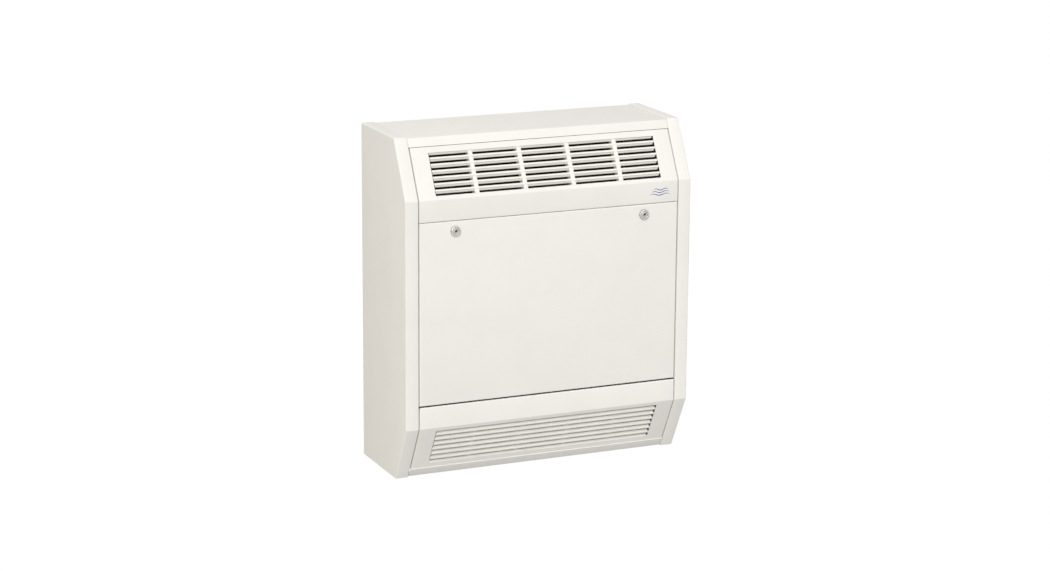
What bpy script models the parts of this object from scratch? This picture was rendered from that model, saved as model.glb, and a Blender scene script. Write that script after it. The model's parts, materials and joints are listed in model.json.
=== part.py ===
"""Floor-standing fan convector heater with a sloped steel casing, as separate sub-parts.

Units are metres. X runs along the width, the front faces -Y and +Z is up. The origin is on the floor, in
the middle of the object's box. Air comes in through the lower slope, goes through the filter and the two
fans, up through the water coil and out of the upper slope.
"""

import math

import bpy
import bmesh
from mathutils import Matrix, Vector

# Casing
WIDTH = 0.625
HEIGHT = 0.700
DEPTH = 0.245
SLOPE_RISE = 0.117
SLOPE_SETBACK = 0.062
SHEET = 0.0015
LIP = 0.027
LIP_FLANGE = 0.008
RETURN = 0.012
LOWER_RETURN = 0.004
SIDE_RETURN = 0.010
GAP = 0.0003
SIDE_GAP = 0.0026
STRIP_GAP = 0.0007
LINE_GAP = 0.0010
LOCK_PROUD = 0.004

HALF = WIDTH / 2
FRONT_Y = LOCK_PROUD - (DEPTH + LOCK_PROUD) / 2
BACK_Y = FRONT_Y + DEPTH
PANEL_X = HALF - LIP - SIDE_GAP
TOP_PANEL_X = HALF - LIP - STRIP_GAP
BACK_PANEL_X = PANEL_X - SHEET - GAP
SLOPE = math.hypot(SLOPE_RISE, SLOPE_SETBACK)
UPPER_BEND_Z = HEIGHT - SLOPE_RISE
LOWER_BEND_Z = SLOPE_RISE

# Panels, as heights and as distances down each slope
TOP_STEP = 0.002
BACK_FLANGE = 0.012
TOP_STRIP = 0.0213
UPPER_PANEL_START = TOP_STRIP + LINE_GAP
DOOR_TOP = 0.5378
DOOR_BOTTOM = 0.1648
DOOR_GAP = 0.0033
LOWER_PANEL_END = 0.1092
RAIL_BOTTOM = 0.0010
RAIL_PROUD = 0.0014
RAIL_TURN = math.radians(11)
RAIL_GAP = 0.0013
RAIL_LEDGE = 0.008
RAIL_FOOT = 0.025

# Keyholes: half of the slot's width, the head's radius, and the slot's top over the head's centre
KEYHOLE_SLOT = 0.003
KEYHOLE_HEAD = 0.007
KEYHOLE_HEIGHT = 0.016
KEYHOLE_X = 0.200
KEYHOLE_Z = (0.220, 0.655)

# Ways in through the back panel, for the pipes and for the supply cable
PIPE_ENTRY_X = (-0.270, -0.210)
PIPE_ENTRY_Z = (0.050, 0.130)
CABLE_ENTRY = (0.240, 0.090)
CABLE_ENTRY_RADIUS = 0.0125

# Grilles. A rib is given as its width and the depth of its front.
OPENING_X = 0.2465
OUTLET_START = 0.035
INLET_START = 0.009
OPENING_LENGTH = 0.089
BARS = 7
BAR_PITCH = 0.0133
BAR_START = -0.0040
BAR_NOSE = 0.0042
BAR_NOSE_DEPTH = 0.0014
BAR_WEB = 0.0014
BAR_STEP = 0.0010
BAR_DEPTH = 0.0050
BAR_DROP = 0.0054
BAR_END_GAP = 0.0007
RIB_X = (-0.1575, -0.0525, 0.0525, 0.1575)
OUTLET_RIB = (0.0090, 0.0008)
INLET_RIB = (0.003, 0.0042)
RIB_END_DEPTH = 0.016
RIB_OVERHANG = 0.006

# Door hinge and locks
HINGE_Y = FRONT_Y + 0.006
HINGE_Z = DOOR_BOTTOM + 0.006
HINGE_PIN_RADIUS = 0.002
HINGE_PIN_X = (0.2655, 0.2842)
EAR_X = (0.2680, 0.2705)
EAR_HALF_HEIGHT = 0.0033
EAR_CLEARANCE = 0.002
HINGE_ARM = 0.028
HINGE_FOOT = 0.020
PAD_X = 0.255
PAD_THICKNESS = 0.008
PAD_INSET_LOW = 0.018
PAD_INSET_HIGH = 0.030
LOCK_X = 0.207
LOCK_Z = 0.518
BEZEL_RADIUS = 0.010
BARREL_RADIUS = 0.008
PLUG_RADIUS = 0.006
BARREL_BACK = FRONT_Y + 0.018
NUT_RADIUS = 0.012
NUT_THICKNESS = 0.0045
KEY_SLOT_HALF = (0.0012, 0.0035)
KEY_SLOT_DEPTH = 0.008
KEY_SLOT_TURN = math.radians(55)
CAM_LENGTH = 0.028
CAM_HALF_WIDTH = 0.006
CAM_FRONT = FRONT_Y + 0.0195
CAM_THICKNESS = 0.0025

# Chassis, fans and coil
CHASSIS_X = 0.2775
CHASSIS_INSET = 0.016
CHASSIS_END_INSET = 0.006
KEEPER_FRONT = FRONT_Y + 0.015
KEEPER_TOP = DOOR_TOP + 0.0192
KEEPER_BOTTOM = DOOR_TOP - 0.0058
KEEPER_DEPTH = 0.025
LINING_X = 0.272
LINING_LOW = 0.538
LINING_THICKNESS = 0.008
LINING_FRONT = -0.040
DECK_TOP = 0.430
DECK_FRONT = -0.095
FAN_Y = 0.020
FAN_Z = 0.335
FAN_X = 0.130
IMPELLER_RADIUS = 0.058
IMPELLER_INNER = 0.046
IMPELLER_WIDTH = 0.080
WHEEL_SIDES = 36
BLADES = 18
SCROLL_WIDTH = 0.100
SCROLL_WALL = 0.0015
SCROLL_LEAST = 0.064
SCROLL_MOST = 0.084
SCROLL_CUTOFF = math.radians(80)
SCROLL_FLANGE = 0.008
SHAFT_RADIUS = 0.004
SHAFT_HALF = 0.152
HUB_RADIUS = 0.011
HUB_HALF = 0.015
MOTOR_RADIUS = 0.045
MOTOR_HALF = 0.045
MOTOR_BOSS = (0.016, 0.055)
STRAP_HALF = 0.012
STRAP_FOOT = 0.025
STRAP_CLEARANCE = 0.0008
COIL_X = 0.214
COIL_LOW = 0.470
COIL_HIGH = 0.530
COIL_FRONT = -0.085
COIL_BACK = 0.110
COIL_PLATE = 0.0015
TUBE_RADIUS = 0.008
TUBE_PASSES = 4
TUBE_PITCH = 0.050
TUBE_FIRST_Y = -0.0625
FIN_WAYS = 16
FIN_WIDTH = 0.004
FIN_BAND = 0.0025
BEND_CLEARANCE = 0.004
VENT_OUT = 0.027
VENT_RADIUS = 0.005
VENT_TOP = 0.030
TUBE_Z = (COIL_LOW + COIL_HIGH) / 2

# Valves, filter and controls
VALVE_X = -0.252
VALVE_Z = 0.350
VALVE_HALF = 0.030
VALVE_RADIUS = 0.0125
VALVE_HEX_RADIUS = 0.015
VALVE_HEX = (0.002, 0.014)
VALVE_BORE = 0.0075
STEM_RADIUS = 0.006
STEM_LENGTH = 0.022
LEVER_LENGTH = 0.038
LEVER_HUB_RADIUS = 0.008
LEVER_THICKNESS = 0.004
LEVER_HALF_WIDTH = 0.005
FILTER_Y = -0.039
FILTER_THICKNESS = 0.012
FILTER_LOW = 0.025
FILTER_HIGH = 0.175
FILTER_X = 0.2655
FILTER_BORDER = 0.012
FILTER_RAIL_TOP = 0.285
FILTER_RAIL_DEPTH = 0.008
FILTER_CLEARANCE = 0.0008
BOX_LOW = (0.200, -0.080, 0.300)
BOX_HIGH = (0.270, -0.030, 0.415)
LID_FRONT = BOX_LOW[1] - GAP - SHEET
KNOB_X = 0.235
KNOB_Z = 0.388
KNOB_RADIUS = 0.014
KNOB_DEPTH = 0.014
SPINDLE_RADIUS = 0.0035
SPINDLE_BACK = 0.012
POINTER_HALF = 0.001
POINTER_START = 0.003
ROCKER_HALF = (0.0055, 0.0095)
ROCKER_ROOM = (0.0065, 0.0115)
ROCKER_Z = 0.335
ROCKER_TILT = math.radians(8)
BOX_WALL = 0.0018
LEAD_Z = 0.322
LEAD_RADIUS = 0.003
LEAD_SAG = 0.018
LEAD_INSET = 0.014
SENSOR_Z = 0.400
SENSOR_SIZE = (0.016, 0.010, 0.015)
SENSOR_LEAD_RADIUS = 0.0025
SENSOR_LEAD_SAG = 0.042
GLAND_INSET = 0.018
GLAND_RADIUS = 0.011
GLAND_LENGTH = 0.014
GLAND_NECK = 0.006
GLAND_BORE = 0.0042
CAPACITOR_RADIUS = 0.0105
TERMINAL_SIZE = (0.008, 0.014, 0.012)

# name: (colour, roughness, metallic)
FINISHES = {
    "casing_coat": ((0.82, 0.81, 0.78), 0.45, 0.0),
    "grille_coat": ((0.78, 0.76, 0.71), 0.50, 0.0),
    "galvanised": ((0.55, 0.57, 0.58), 0.40, 1.0),
    "chrome": ((0.62, 0.63, 0.64), 0.20, 1.0),
    "fins": ((0.74, 0.75, 0.76), 0.35, 1.0),
    "copper": ((0.72, 0.40, 0.26), 0.30, 1.0),
    "brass": ((0.70, 0.55, 0.28), 0.30, 1.0),
    "motor_paint": ((0.10, 0.10, 0.11), 0.50, 0.0),
    "black_plastic": ((0.03, 0.03, 0.03), 0.45, 0.0),
    "box_plastic": ((0.45, 0.46, 0.47), 0.50, 0.0),
    "valve_blue": ((0.05, 0.16, 0.45), 0.45, 0.0),
    "valve_red": ((0.55, 0.06, 0.05), 0.45, 0.0),
    "foam": ((0.09, 0.09, 0.09), 0.90, 0.0),
    "filter_felt": ((0.70, 0.72, 0.70), 0.95, 0.0),
    "lead_sheath": ((0.05, 0.05, 0.05), 0.55, 0.0),
}
IDENTITY = Matrix.Identity(4)
AXES = {"X": Vector((1, 0, 0)), "Y": Vector((0, 1, 0)), "Z": Vector((0, 0, 1))}


# Geometry helpers
def slope_frame(origin, down):
    """Local x is world X, local y runs down the slope and local z goes into the casing."""
    inward = AXES["X"].cross(down)
    rows = [(AXES["X"][k], down[k], inward[k], origin[k]) for k in range(3)]
    return Matrix([*rows, (0, 0, 0, 1)])


UPPER_SLOPE = slope_frame(
    Vector((0, FRONT_Y + SLOPE_SETBACK, HEIGHT)),
    Vector((0, -SLOPE_SETBACK / SLOPE, -SLOPE_RISE / SLOPE)),
)
LOWER_SLOPE = slope_frame(
    Vector((0, FRONT_Y, LOWER_BEND_Z)),
    Vector((0, SLOPE_SETBACK / SLOPE, -SLOPE_RISE / SLOPE)),
)


def on_slope(frame, down, depth=0.0):
    """The (y, z) of a point this far down a slope and this deep under it."""
    point = frame @ Vector((0, down, depth))
    return point.y, point.z


def prism(axis, outline, low, high):
    """A closed outline drawn out along an axis. Its points are (y, z), (x, z) or (x, y)."""
    return axis, tuple(outline), low, high


def box(low, high):
    corners = [(low[0], low[1]), (high[0], low[1]), (high[0], high[1]), (low[0], high[1])]
    return prism("Z", corners, low[2], high[2])


def circle(centre, radius, sides=32):
    step = 2 * math.pi / sides
    return [
        (centre[0] + radius * math.cos(k * step), centre[1] + radius * math.sin(k * step))
        for k in range(sides)
    ]


def disc(axis, centre, radius, low, high, sides=32):
    return prism(axis, circle(centre, radius, sides), low, high)


def offset_line(points, distance):
    """The line moved to its right-hand side by a distance, mitred at its bends."""
    moved = []
    for k, point in enumerate(points):
        normals = []
        for a, b in ((k - 1, k), (k, k + 1)):
            if 0 <= a and b < len(points):
                along = Vector(points[b]) - Vector(points[a])
                normals.append(Vector((along.y, -along.x)).normalized())
        middle = sum(normals, Vector((0, 0))).normalized()
        reach = distance / middle.dot(normals[0])
        moved.append(tuple(Vector(point) + middle * reach))
    return moved


def sheet(points, thickness=SHEET):
    """The outline of a folded sheet whose seen face follows these points."""
    return [*points, *reversed(offset_line(points, thickness))]


def extended(points, reach):
    """The line with its two ends moved outwards."""
    line = [Vector(point) for point in points]
    for end, beside in ((0, 1), (-1, -2)):
        line[end] += (line[end] - line[beside]).normalized() * reach
    return [tuple(point) for point in line]


# Object helpers
def finish_material(finish):
    made = bpy.data.materials.get(finish)
    if made is None:
        made = bpy.data.materials.new(finish)
        made.use_nodes = True
        colour, roughness, metallic = FINISHES[finish]
        shader = made.node_tree.nodes["Principled BSDF"]
        shader.inputs["Base Color"].default_value = (*colour, 1)
        shader.inputs["Roughness"].default_value = roughness
        shader.inputs["Metallic"].default_value = metallic
        made.diffuse_color = (*colour, 1)
    return made


def add_prism(target, piece):
    axis, outline, low, high = piece
    place = {
        "X": lambda a, b: (low, a, b),
        "Y": lambda a, b: (a, low, b),
        "Z": lambda a, b: (a, b, low),
    }[axis]
    face = target.faces.new([target.verts.new(place(a, b)) for a, b in outline])
    drawn = bmesh.ops.extrude_face_region(target, geom=[face])["geom"]
    ends = [v for v in drawn if isinstance(v, bmesh.types.BMVert)]
    bmesh.ops.translate(target, verts=ends, vec=AXES[axis] * (high - low))


def solid(name, finish, pieces, frame=IDENTITY):
    """An object made of prisms that stay clear of one another."""
    shape = bmesh.new()
    for piece in pieces:
        add_prism(shape, piece)
    bmesh.ops.transform(shape, matrix=frame, verts=shape.verts)
    bmesh.ops.recalc_face_normals(shape, faces=shape.faces)
    mesh = bpy.data.meshes.new(name)
    shape.to_mesh(mesh)
    shape.free()
    mesh.materials.append(finish_material(finish))
    made = bpy.data.objects.new(name, mesh)
    bpy.context.scene.collection.objects.link(made)
    return made


def boolean(target, operation, pieces, frame):
    tool = solid(f"{target.name}.{operation}.{len(target.modifiers)}", "galvanised", pieces, frame)
    tool.hide_render = True
    tool.display_type = "WIRE"
    change = target.modifiers.new(operation.title(), "BOOLEAN")
    change.operation = operation
    change.object = tool


def cut(target, *pieces, frame=IDENTITY):
    boolean(target, "DIFFERENCE", pieces, frame)


def join(target, *pieces, frame=IDENTITY):
    boolean(target, "UNION", pieces, frame)


def tube(name, finish, points, radius):
    """A pipe or lead along these points, with round bends left to the points themselves."""
    line = bpy.data.curves.new(name, "CURVE")
    line.dimensions = "3D"
    line.bevel_depth = radius
    line.bevel_resolution = 2
    line.use_fill_caps = True
    spline = line.splines.new("POLY")
    spline.points.add(len(points) - 1)
    for place, point in zip(spline.points, points):
        place.co = (*point, 1)
    line.materials.append(finish_material(finish))
    made = bpy.data.objects.new(name, line)
    bpy.context.scene.collection.objects.link(made)
    return made


def rounded(corners, radius, steps=6):
    """A path through corners, each turned by an arc of this radius."""
    path = [Vector(corners[0])]
    for before, corner, after in zip(corners, corners[1:], corners[2:]):
        corner = Vector(corner)
        into = (Vector(before) - corner).normalized()
        out = (Vector(after) - corner).normalized()
        half = into.angle(out) / 2
        reach = radius / math.tan(half)
        centre = corner + (into + out).normalized() * (radius / math.sin(half))
        first = corner + into * reach - centre
        last = corner + out * reach - centre
        for k in range(steps + 1):
            path.append(centre + first.slerp(last, k / steps).normalized() * radius)
    path.append(Vector(corners[-1]))
    return path


def hanging(path, sag, steps=32):
    """The path in even steps, hanging down between its ends by this sag, and level where it leaves them."""
    reach = [0.0]
    for first, second in zip(path, path[1:]):
        reach.append(reach[-1] + (second - first).length)
    points = []
    for k in range(steps + 1):
        along = reach[-1] * k / steps
        after = next(n for n in range(1, len(path)) if reach[n] >= along - 1e-9)
        share = (along - reach[after - 1]) / (reach[after] - reach[after - 1])
        point = path[after - 1].lerp(path[after], share)
        point.z -= sag * math.sin(math.pi * k / steps) ** 2
        points.append(point)
    return points


def pivot(name, place, *pieces):
    """An empty on a joint's axis, with the pieces that move about it."""
    empty = bpy.data.objects.new(name, None)
    empty.location = place
    bpy.context.scene.collection.objects.link(empty)
    for piece in pieces:
        piece.parent = empty
        piece.matrix_parent_inverse = Matrix.Translation(-Vector(place))


def mirrored(side, low, high):
    """A span of X on the left (-1) or right (+1) side, from its distances to the middle."""
    return (low, high) if side > 0 else (-high, -low)


# Casing
def casing_outline(inset=0.0, front_inset=None, back_inset=None):
    """The casing's side view, moved in by an inset. The sloped front and the back may take their own."""
    front_inset = inset if front_inset is None else front_inset
    back_inset = inset if back_inset is None else back_inset
    slope_shift = front_inset / math.cos(math.atan2(SLOPE_SETBACK, SLOPE_RISE))
    lean = SLOPE_SETBACK / SLOPE_RISE
    bend_shift = (slope_shift - front_inset) / lean
    front = FRONT_Y + front_inset
    low, high, back = inset, HEIGHT - inset, BACK_Y - back_inset
    end_y = FRONT_Y + SLOPE_SETBACK + slope_shift - inset * lean
    return [
        (back, low),
        (end_y, low),
        (front, LOWER_BEND_Z + bend_shift),
        (front, UPPER_BEND_Z - bend_shift),
        (end_y, high),
        (back, high),
    ]


def side_panel(name, side):
    """A flat plate with a lip all round it, and a flange turned in along the lip's free edge."""
    panel = solid(name, "casing_coat", [prism("X", casing_outline(), *mirrored(side, HALF - LIP, HALF))])
    under_lip = mirrored(side, HALF - LIP + SHEET, HALF - SHEET)
    past_lip = mirrored(side, HALF - 2 * LIP, HALF - LIP / 2)
    cut(panel, prism("X", casing_outline(SHEET), *under_lip))
    cut(panel, prism("X", casing_outline(LIP_FLANGE), *past_lip))


def front_sheet(name, seen, half=PANEL_X):
    """A sheet across the casing, whose two ends are turned in beside the side panels."""
    panel = solid(name, "casing_coat", [prism("X", sheet(seen, SIDE_RETURN), -half, half)])
    under = offset_line(extended(seen, SIDE_RETURN), SHEET)
    cut(panel, prism("X", sheet(under, SIDE_RETURN), SHEET - half, half - SHEET))
    return panel


def top_panel():
    edge = on_slope(UPPER_SLOPE, TOP_STEP * SLOPE / SLOPE_RISE)
    seen = [on_slope(UPPER_SLOPE, TOP_STRIP), edge, (BACK_Y, HEIGHT - TOP_STEP)]
    front_sheet("top_panel", seen, TOP_PANEL_X)


def slope_opening(start):
    return box((-OPENING_X, start, -0.01), (OPENING_X, start + OPENING_LENGTH, 0.03))


def upper_front_panel():
    bottom = DOOR_TOP + LINE_GAP
    panel = front_sheet("upper_front_panel", [
        (FRONT_Y + RETURN, bottom),
        (FRONT_Y, bottom),
        (FRONT_Y, UPPER_BEND_Z),
        on_slope(UPPER_SLOPE, UPPER_PANEL_START),
    ])
    cut(panel, slope_opening(OUTLET_START), frame=UPPER_SLOPE)


def lower_front_panel():
    top = DOOR_BOTTOM - DOOR_GAP
    panel = front_sheet("lower_front_panel", [
        on_slope(LOWER_SLOPE, LOWER_PANEL_END),
        (FRONT_Y, LOWER_BEND_Z),
        (FRONT_Y, top),
        (FRONT_Y + LOWER_RETURN, top),
    ])
    cut(panel, slope_opening(INLET_START), frame=LOWER_SLOPE)


def bottom_rail():
    """A strip below the lower slope that leans in a little more than it does, and stands a little proud of the
    panel. Its top edge is turned in under the panel, and its foot is turned in at the floor."""
    top = LOWER_PANEL_END + GAP
    top_y, top_z = on_slope(LOWER_SLOPE, top, -RAIL_PROUD)
    lean = math.atan2(SLOPE_SETBACK, SLOPE_RISE) + RAIL_TURN
    bottom_y = top_y + (top_z - RAIL_BOTTOM) * math.tan(lean)
    ledge = on_slope(LOWER_SLOPE, top, RAIL_LEDGE)
    seen = [(bottom_y + RAIL_FOOT, RAIL_BOTTOM), (bottom_y, RAIL_BOTTOM), (top_y, top_z), ledge]
    half = HALF - LIP - RAIL_GAP
    solid("bottom_rail", "casing_coat", [prism("X", sheet(seen), -half, half)])


def keyhole_outline(x, z):
    """A round head for the screw's head to pass, with a slot above it for the shank."""
    neck = math.pi - math.asin(KEYHOLE_SLOT / KEYHOLE_HEAD)
    steps = 14
    turns = [neck * (2 * k / steps - 1) for k in range(steps + 1)]
    head = [(x + KEYHOLE_HEAD * math.sin(a), z - KEYHOLE_HEAD * math.cos(a)) for a in turns]
    top = z + KEYHOLE_HEIGHT
    return [*head, (x + KEYHOLE_SLOT, top), (x - KEYHOLE_SLOT, top)]


def back_panel():
    """A flat sheet, with a flange under the top panel's back edge and another at the floor."""
    top = HEIGHT - TOP_STEP - SHEET - GAP
    seen = [(BACK_Y - BACK_FLANGE, top), (BACK_Y, top), (BACK_Y, RAIL_BOTTOM)]
    panel = solid("back_panel", "galvanised", [prism("X", sheet(seen), -BACK_PANEL_X, BACK_PANEL_X)])
    behind, ahead = BACK_Y - 0.005, BACK_Y + 0.005
    keyholes = [
        prism("Y", keyhole_outline(x, z), behind, ahead)
        for x in (-KEYHOLE_X, KEYHOLE_X)
        for z in KEYHOLE_Z
    ]
    pipes = box((PIPE_ENTRY_X[0], behind, PIPE_ENTRY_Z[0]), (PIPE_ENTRY_X[1], ahead, PIPE_ENTRY_Z[1]))
    cable = disc("Y", CABLE_ENTRY, CABLE_ENTRY_RADIUS, behind, ahead, 24)
    cut(panel, *keyholes, pipes, cable)


def plenum_lining():
    """A dark foam pad on the inside of the back panel and under the top panel, over the coil."""
    back = BACK_Y - SHEET - GAP
    top = HEIGHT - TOP_STEP - 2 * SHEET - 2 * GAP
    outer = [(LINING_FRONT, top), (back, top), (back, LINING_LOW)]
    lining = solid("plenum_lining", "foam", [prism("X", sheet(outer, LINING_THICKNESS), -LINING_X, LINING_X)])
    room = 2 * KEYHOLE_HEAD
    low_z, high_z = KEYHOLE_Z[1] - room, KEYHOLE_Z[1] + KEYHOLE_HEIGHT + KEYHOLE_HEAD
    for x in (-KEYHOLE_X, KEYHOLE_X):
        cut(lining, box((x - room, back - 0.02, low_z), (x + room, BACK_Y, high_z)))


def bar_outline(start, nosed):
    """A bar in the slope's (down, inward) plane: a flat nose, and behind it a web that leans across the slot.
    The bar at the opening's edge has no nose, and its web starts behind the panel."""
    lean = BAR_DROP / (BAR_DEPTH - BAR_NOSE_DEPTH)
    nose_end = start + BAR_NOSE
    under = nose_end - BAR_STEP
    front = BAR_NOSE_DEPTH if nosed else SHEET + GAP
    shift = (front - BAR_NOSE_DEPTH) * lean
    web = [
        (under + shift, front),
        (under + BAR_DROP, BAR_DEPTH),
        (under + BAR_DROP - BAR_WEB, BAR_DEPTH),
        (under + shift - BAR_WEB, front),
    ]
    if not nosed:
        return web
    return [(start, 0.0), (nose_end, 0.0), (nose_end, BAR_NOSE_DEPTH), *web, (start, BAR_NOSE_DEPTH)]


def grille(name, start, frame, rib, upside_down=False):
    """Bars across an opening, tied by four upright ribs. The lower grille is the upper one, turned over."""
    end = start + OPENING_LENGTH
    half = OPENING_X - BAR_END_GAP

    def placed(outline):
        return [(start + end - down, depth) for down, depth in outline] if upside_down else outline

    bars = [
        prism("X", placed(bar_outline(start + BAR_START + k * BAR_PITCH, k > 0)), -half, half)
        for k in range(BARS)
    ]
    made = solid(name, "grille_coat", bars, frame)
    width, front = rib
    step = max(front, SHEET + 2 * GAP)
    low, high = start - RIB_OVERHANG, end + RIB_OVERHANG
    outline = [(high, step), (high, RIB_END_DEPTH), (low, RIB_END_DEPTH), (low, step)]
    if front < step:
        outline += [(start + GAP, step), (start + GAP, front), (end - GAP, front), (end - GAP, step)]
    join(made, *[prism("X", outline, x - width / 2, x + width / 2) for x in RIB_X], frame=frame)


# Door, hinges and locks
def door_pan():
    low = (-PANEL_X, FRONT_Y, DOOR_BOTTOM)
    high = (PANEL_X, FRONT_Y + RETURN, DOOR_TOP)
    door = solid("access_door", "casing_coat", [box(low, high)])
    inner_low = (low[0] + SHEET, FRONT_Y + SHEET, low[2] + SHEET)
    inner_high = (high[0] - SHEET, FRONT_Y + 2 * RETURN, high[2] - SHEET)
    cut(door, box(inner_low, inner_high))
    bore = BARREL_RADIUS + GAP
    cut(door, *[disc("Y", (s * LOCK_X, LOCK_Z), bore, FRONT_Y - 0.01, FRONT_Y + 0.01) for s in (-1, 1)])
    ear_slots = []
    for side in (-1, 1):
        left, right = mirrored(side, EAR_X[0] - EAR_CLEARANCE, EAR_X[1] + EAR_CLEARANCE)
        ear_slots.append(box((left, FRONT_Y + SHEET + 0.0005, DOOR_BOTTOM - 0.01),
                             (right, FRONT_Y + 0.03, DOOR_BOTTOM + SHEET + 0.0002)))
    cut(door, *ear_slots)
    cut(door, disc("X", (HINGE_Y, HINGE_Z), HINGE_PIN_RADIUS + 0.00035, -HALF, HALF, 24))
    pad_front = FRONT_Y + SHEET + GAP
    pad = solid("door_insulation", "foam", [
        box((-PAD_X, pad_front, DOOR_BOTTOM + PAD_INSET_LOW),
            (PAD_X, pad_front + PAD_THICKNESS, LOCK_Z - PAD_INSET_HIGH))])
    return [door, pad]


def hinge(prefix, side):
    """A bracket on the chassis, with an ear round the hinge pin. The pin's outer end is in the door's return."""
    ear_low, ear_high = EAR_X
    foot_high = CHASSIS_X - GAP
    foot_low = foot_high - SHEET
    arm_y, foot_y = HINGE_Y + HINGE_ARM, HINGE_Y + HINGE_ARM + HINGE_FOOT
    arm_back = arm_y + EAR_X[1] - EAR_X[0]
    seen = [
        (ear_low, HINGE_Y), (ear_high, HINGE_Y), (ear_high, arm_y), (foot_high, arm_y),
        (foot_high, foot_y), (foot_low, foot_y), (foot_low, arm_back), (ear_low, arm_back),
    ]
    plan = [(side * x, y) for x, y in seen]
    low, high = HINGE_Z - EAR_HALF_HEIGHT, HINGE_Z + EAR_HALF_HEIGHT
    bracket = solid(f"{prefix}_hinge_bracket", "galvanised", [prism("Z", plan, low, high)])
    centre = (HINGE_Y, HINGE_Z)
    join(bracket, disc("X", centre, EAR_HALF_HEIGHT, *mirrored(side, *EAR_X), 24))
    bore_span = mirrored(side, ear_low - 0.008, ear_high + 0.008)
    cut(bracket, disc("X", centre, HINGE_PIN_RADIUS + GAP, *bore_span, 24))
    pin_span = mirrored(side, *HINGE_PIN_X)
    solid(f"{prefix}_hinge_pin", "galvanised", [disc("X", centre, HINGE_PIN_RADIUS, *pin_span, 24)])


def lock(prefix, side):
    """The lock's fixed pieces, and its plug and cam, which turn."""
    x, z = centre = (side * LOCK_X, LOCK_Z)
    face = FRONT_Y - LOCK_PROUD
    housing = solid(f"{prefix}_lock_housing", "chrome", [disc("Y", centre, BEZEL_RADIUS, face, FRONT_Y - GAP)])
    join(housing, disc("Y", centre, BARREL_RADIUS, FRONT_Y - LOCK_PROUD / 2, BARREL_BACK))
    cut(housing, disc("Y", centre, PLUG_RADIUS + GAP, FRONT_Y - 0.02, FRONT_Y + 0.04))
    nut_front = FRONT_Y + SHEET + GAP
    nut = solid(f"{prefix}_lock_nut", "chrome",
                [disc("Y", centre, NUT_RADIUS, nut_front, nut_front + NUT_THICKNESS, 6)])
    cut(nut, disc("Y", centre, BARREL_RADIUS + GAP, FRONT_Y - 0.02, FRONT_Y + 0.04))
    plug = solid(f"{prefix}_lock_plug", "chrome", [disc("Y", centre, PLUG_RADIUS, face + GAP, CAM_FRONT - GAP)])
    half_width, half_length = KEY_SLOT_HALF
    slot_end = face - FRONT_Y + KEY_SLOT_DEPTH
    key_slot = box((-half_width, -0.01, -half_length), (half_width, slot_end, half_length))
    turned = Matrix.Translation((x, FRONT_Y, z)) @ Matrix.Rotation(KEY_SLOT_TURN, 4, "Y")
    cut(plug, key_slot, frame=turned)
    inward = -side
    cam_low, cam_high = sorted((x - inward * CAM_HALF_WIDTH, x + inward * CAM_LENGTH))
    cam = solid(f"{prefix}_lock_cam", "galvanised", [
        box((cam_low, CAM_FRONT, z - CAM_HALF_WIDTH),
            (cam_high, CAM_FRONT + CAM_THICKNESS, z + CAM_HALF_WIDTH))])
    pivot(f"{prefix}_lock_axis", (x, FRONT_Y, z), plug, cam)
    return [housing, nut]


# Chassis
def chassis_plate(prefix, side):
    outline = casing_outline(CHASSIS_END_INSET, CHASSIS_INSET, SHEET + GAP)
    solid(f"{prefix}_chassis_plate", "galvanised",
          [prism("X", outline, *mirrored(side, CHASSIS_X, CHASSIS_X + SHEET))])


def door_keeper_rail():
    seen = [
        (KEEPER_FRONT, KEEPER_BOTTOM),
        (KEEPER_FRONT, KEEPER_TOP),
        (KEEPER_FRONT + KEEPER_DEPTH, KEEPER_TOP),
    ]
    span = CHASSIS_X - GAP
    solid("door_keeper_rail", "galvanised", [prism("X", sheet(seen), -span, span)])


def fan_deck():
    span = CHASSIS_X - GAP
    deck = solid("fan_deck", "galvanised", [
        box((-span, DECK_FRONT, DECK_TOP - SHEET), (span, BACK_Y - SHEET - GAP, DECK_TOP))])
    low_y, high_y = discharge_span()
    outlets = [box((s * FAN_X - SCROLL_WIDTH / 2 + SCROLL_WALL, low_y, DECK_TOP - 0.01),
                   (s * FAN_X + SCROLL_WIDTH / 2 - SCROLL_WALL, high_y, DECK_TOP + 0.01))
               for s in (-1, 1)]
    pipes = [disc("Z", (VALVE_X, y), TUBE_RADIUS + 0.002, DECK_TOP - 0.01, DECK_TOP + 0.01, 24)
             for y in (tube_y(0), tube_y(TUBE_PASSES - 1))]
    cut(deck, *outlets, *pipes)


# Fans
def discharge_span():
    """The fan's outlet, from its cut-off to its back wall, as two y values."""
    return FAN_Y + SCROLL_LEAST * math.cos(SCROLL_CUTOFF), FAN_Y + SCROLL_MOST


def scroll_outline(wall, top):
    """The spiral grows from the cut-off, over the front and under the fan, to a straight back wall."""
    steps = 24
    low_y, high_y = discharge_span()
    points = [(high_y + wall, top), (low_y - wall, top)]
    for k in range(steps + 1):
        share = k / steps
        angle = SCROLL_CUTOFF + share * (2 * math.pi - SCROLL_CUTOFF)
        radius = SCROLL_LEAST + share * (SCROLL_MOST - SCROLL_LEAST) + wall
        points.append((FAN_Y + radius * math.cos(angle), FAN_Z + radius * math.sin(angle)))
    return points


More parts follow.
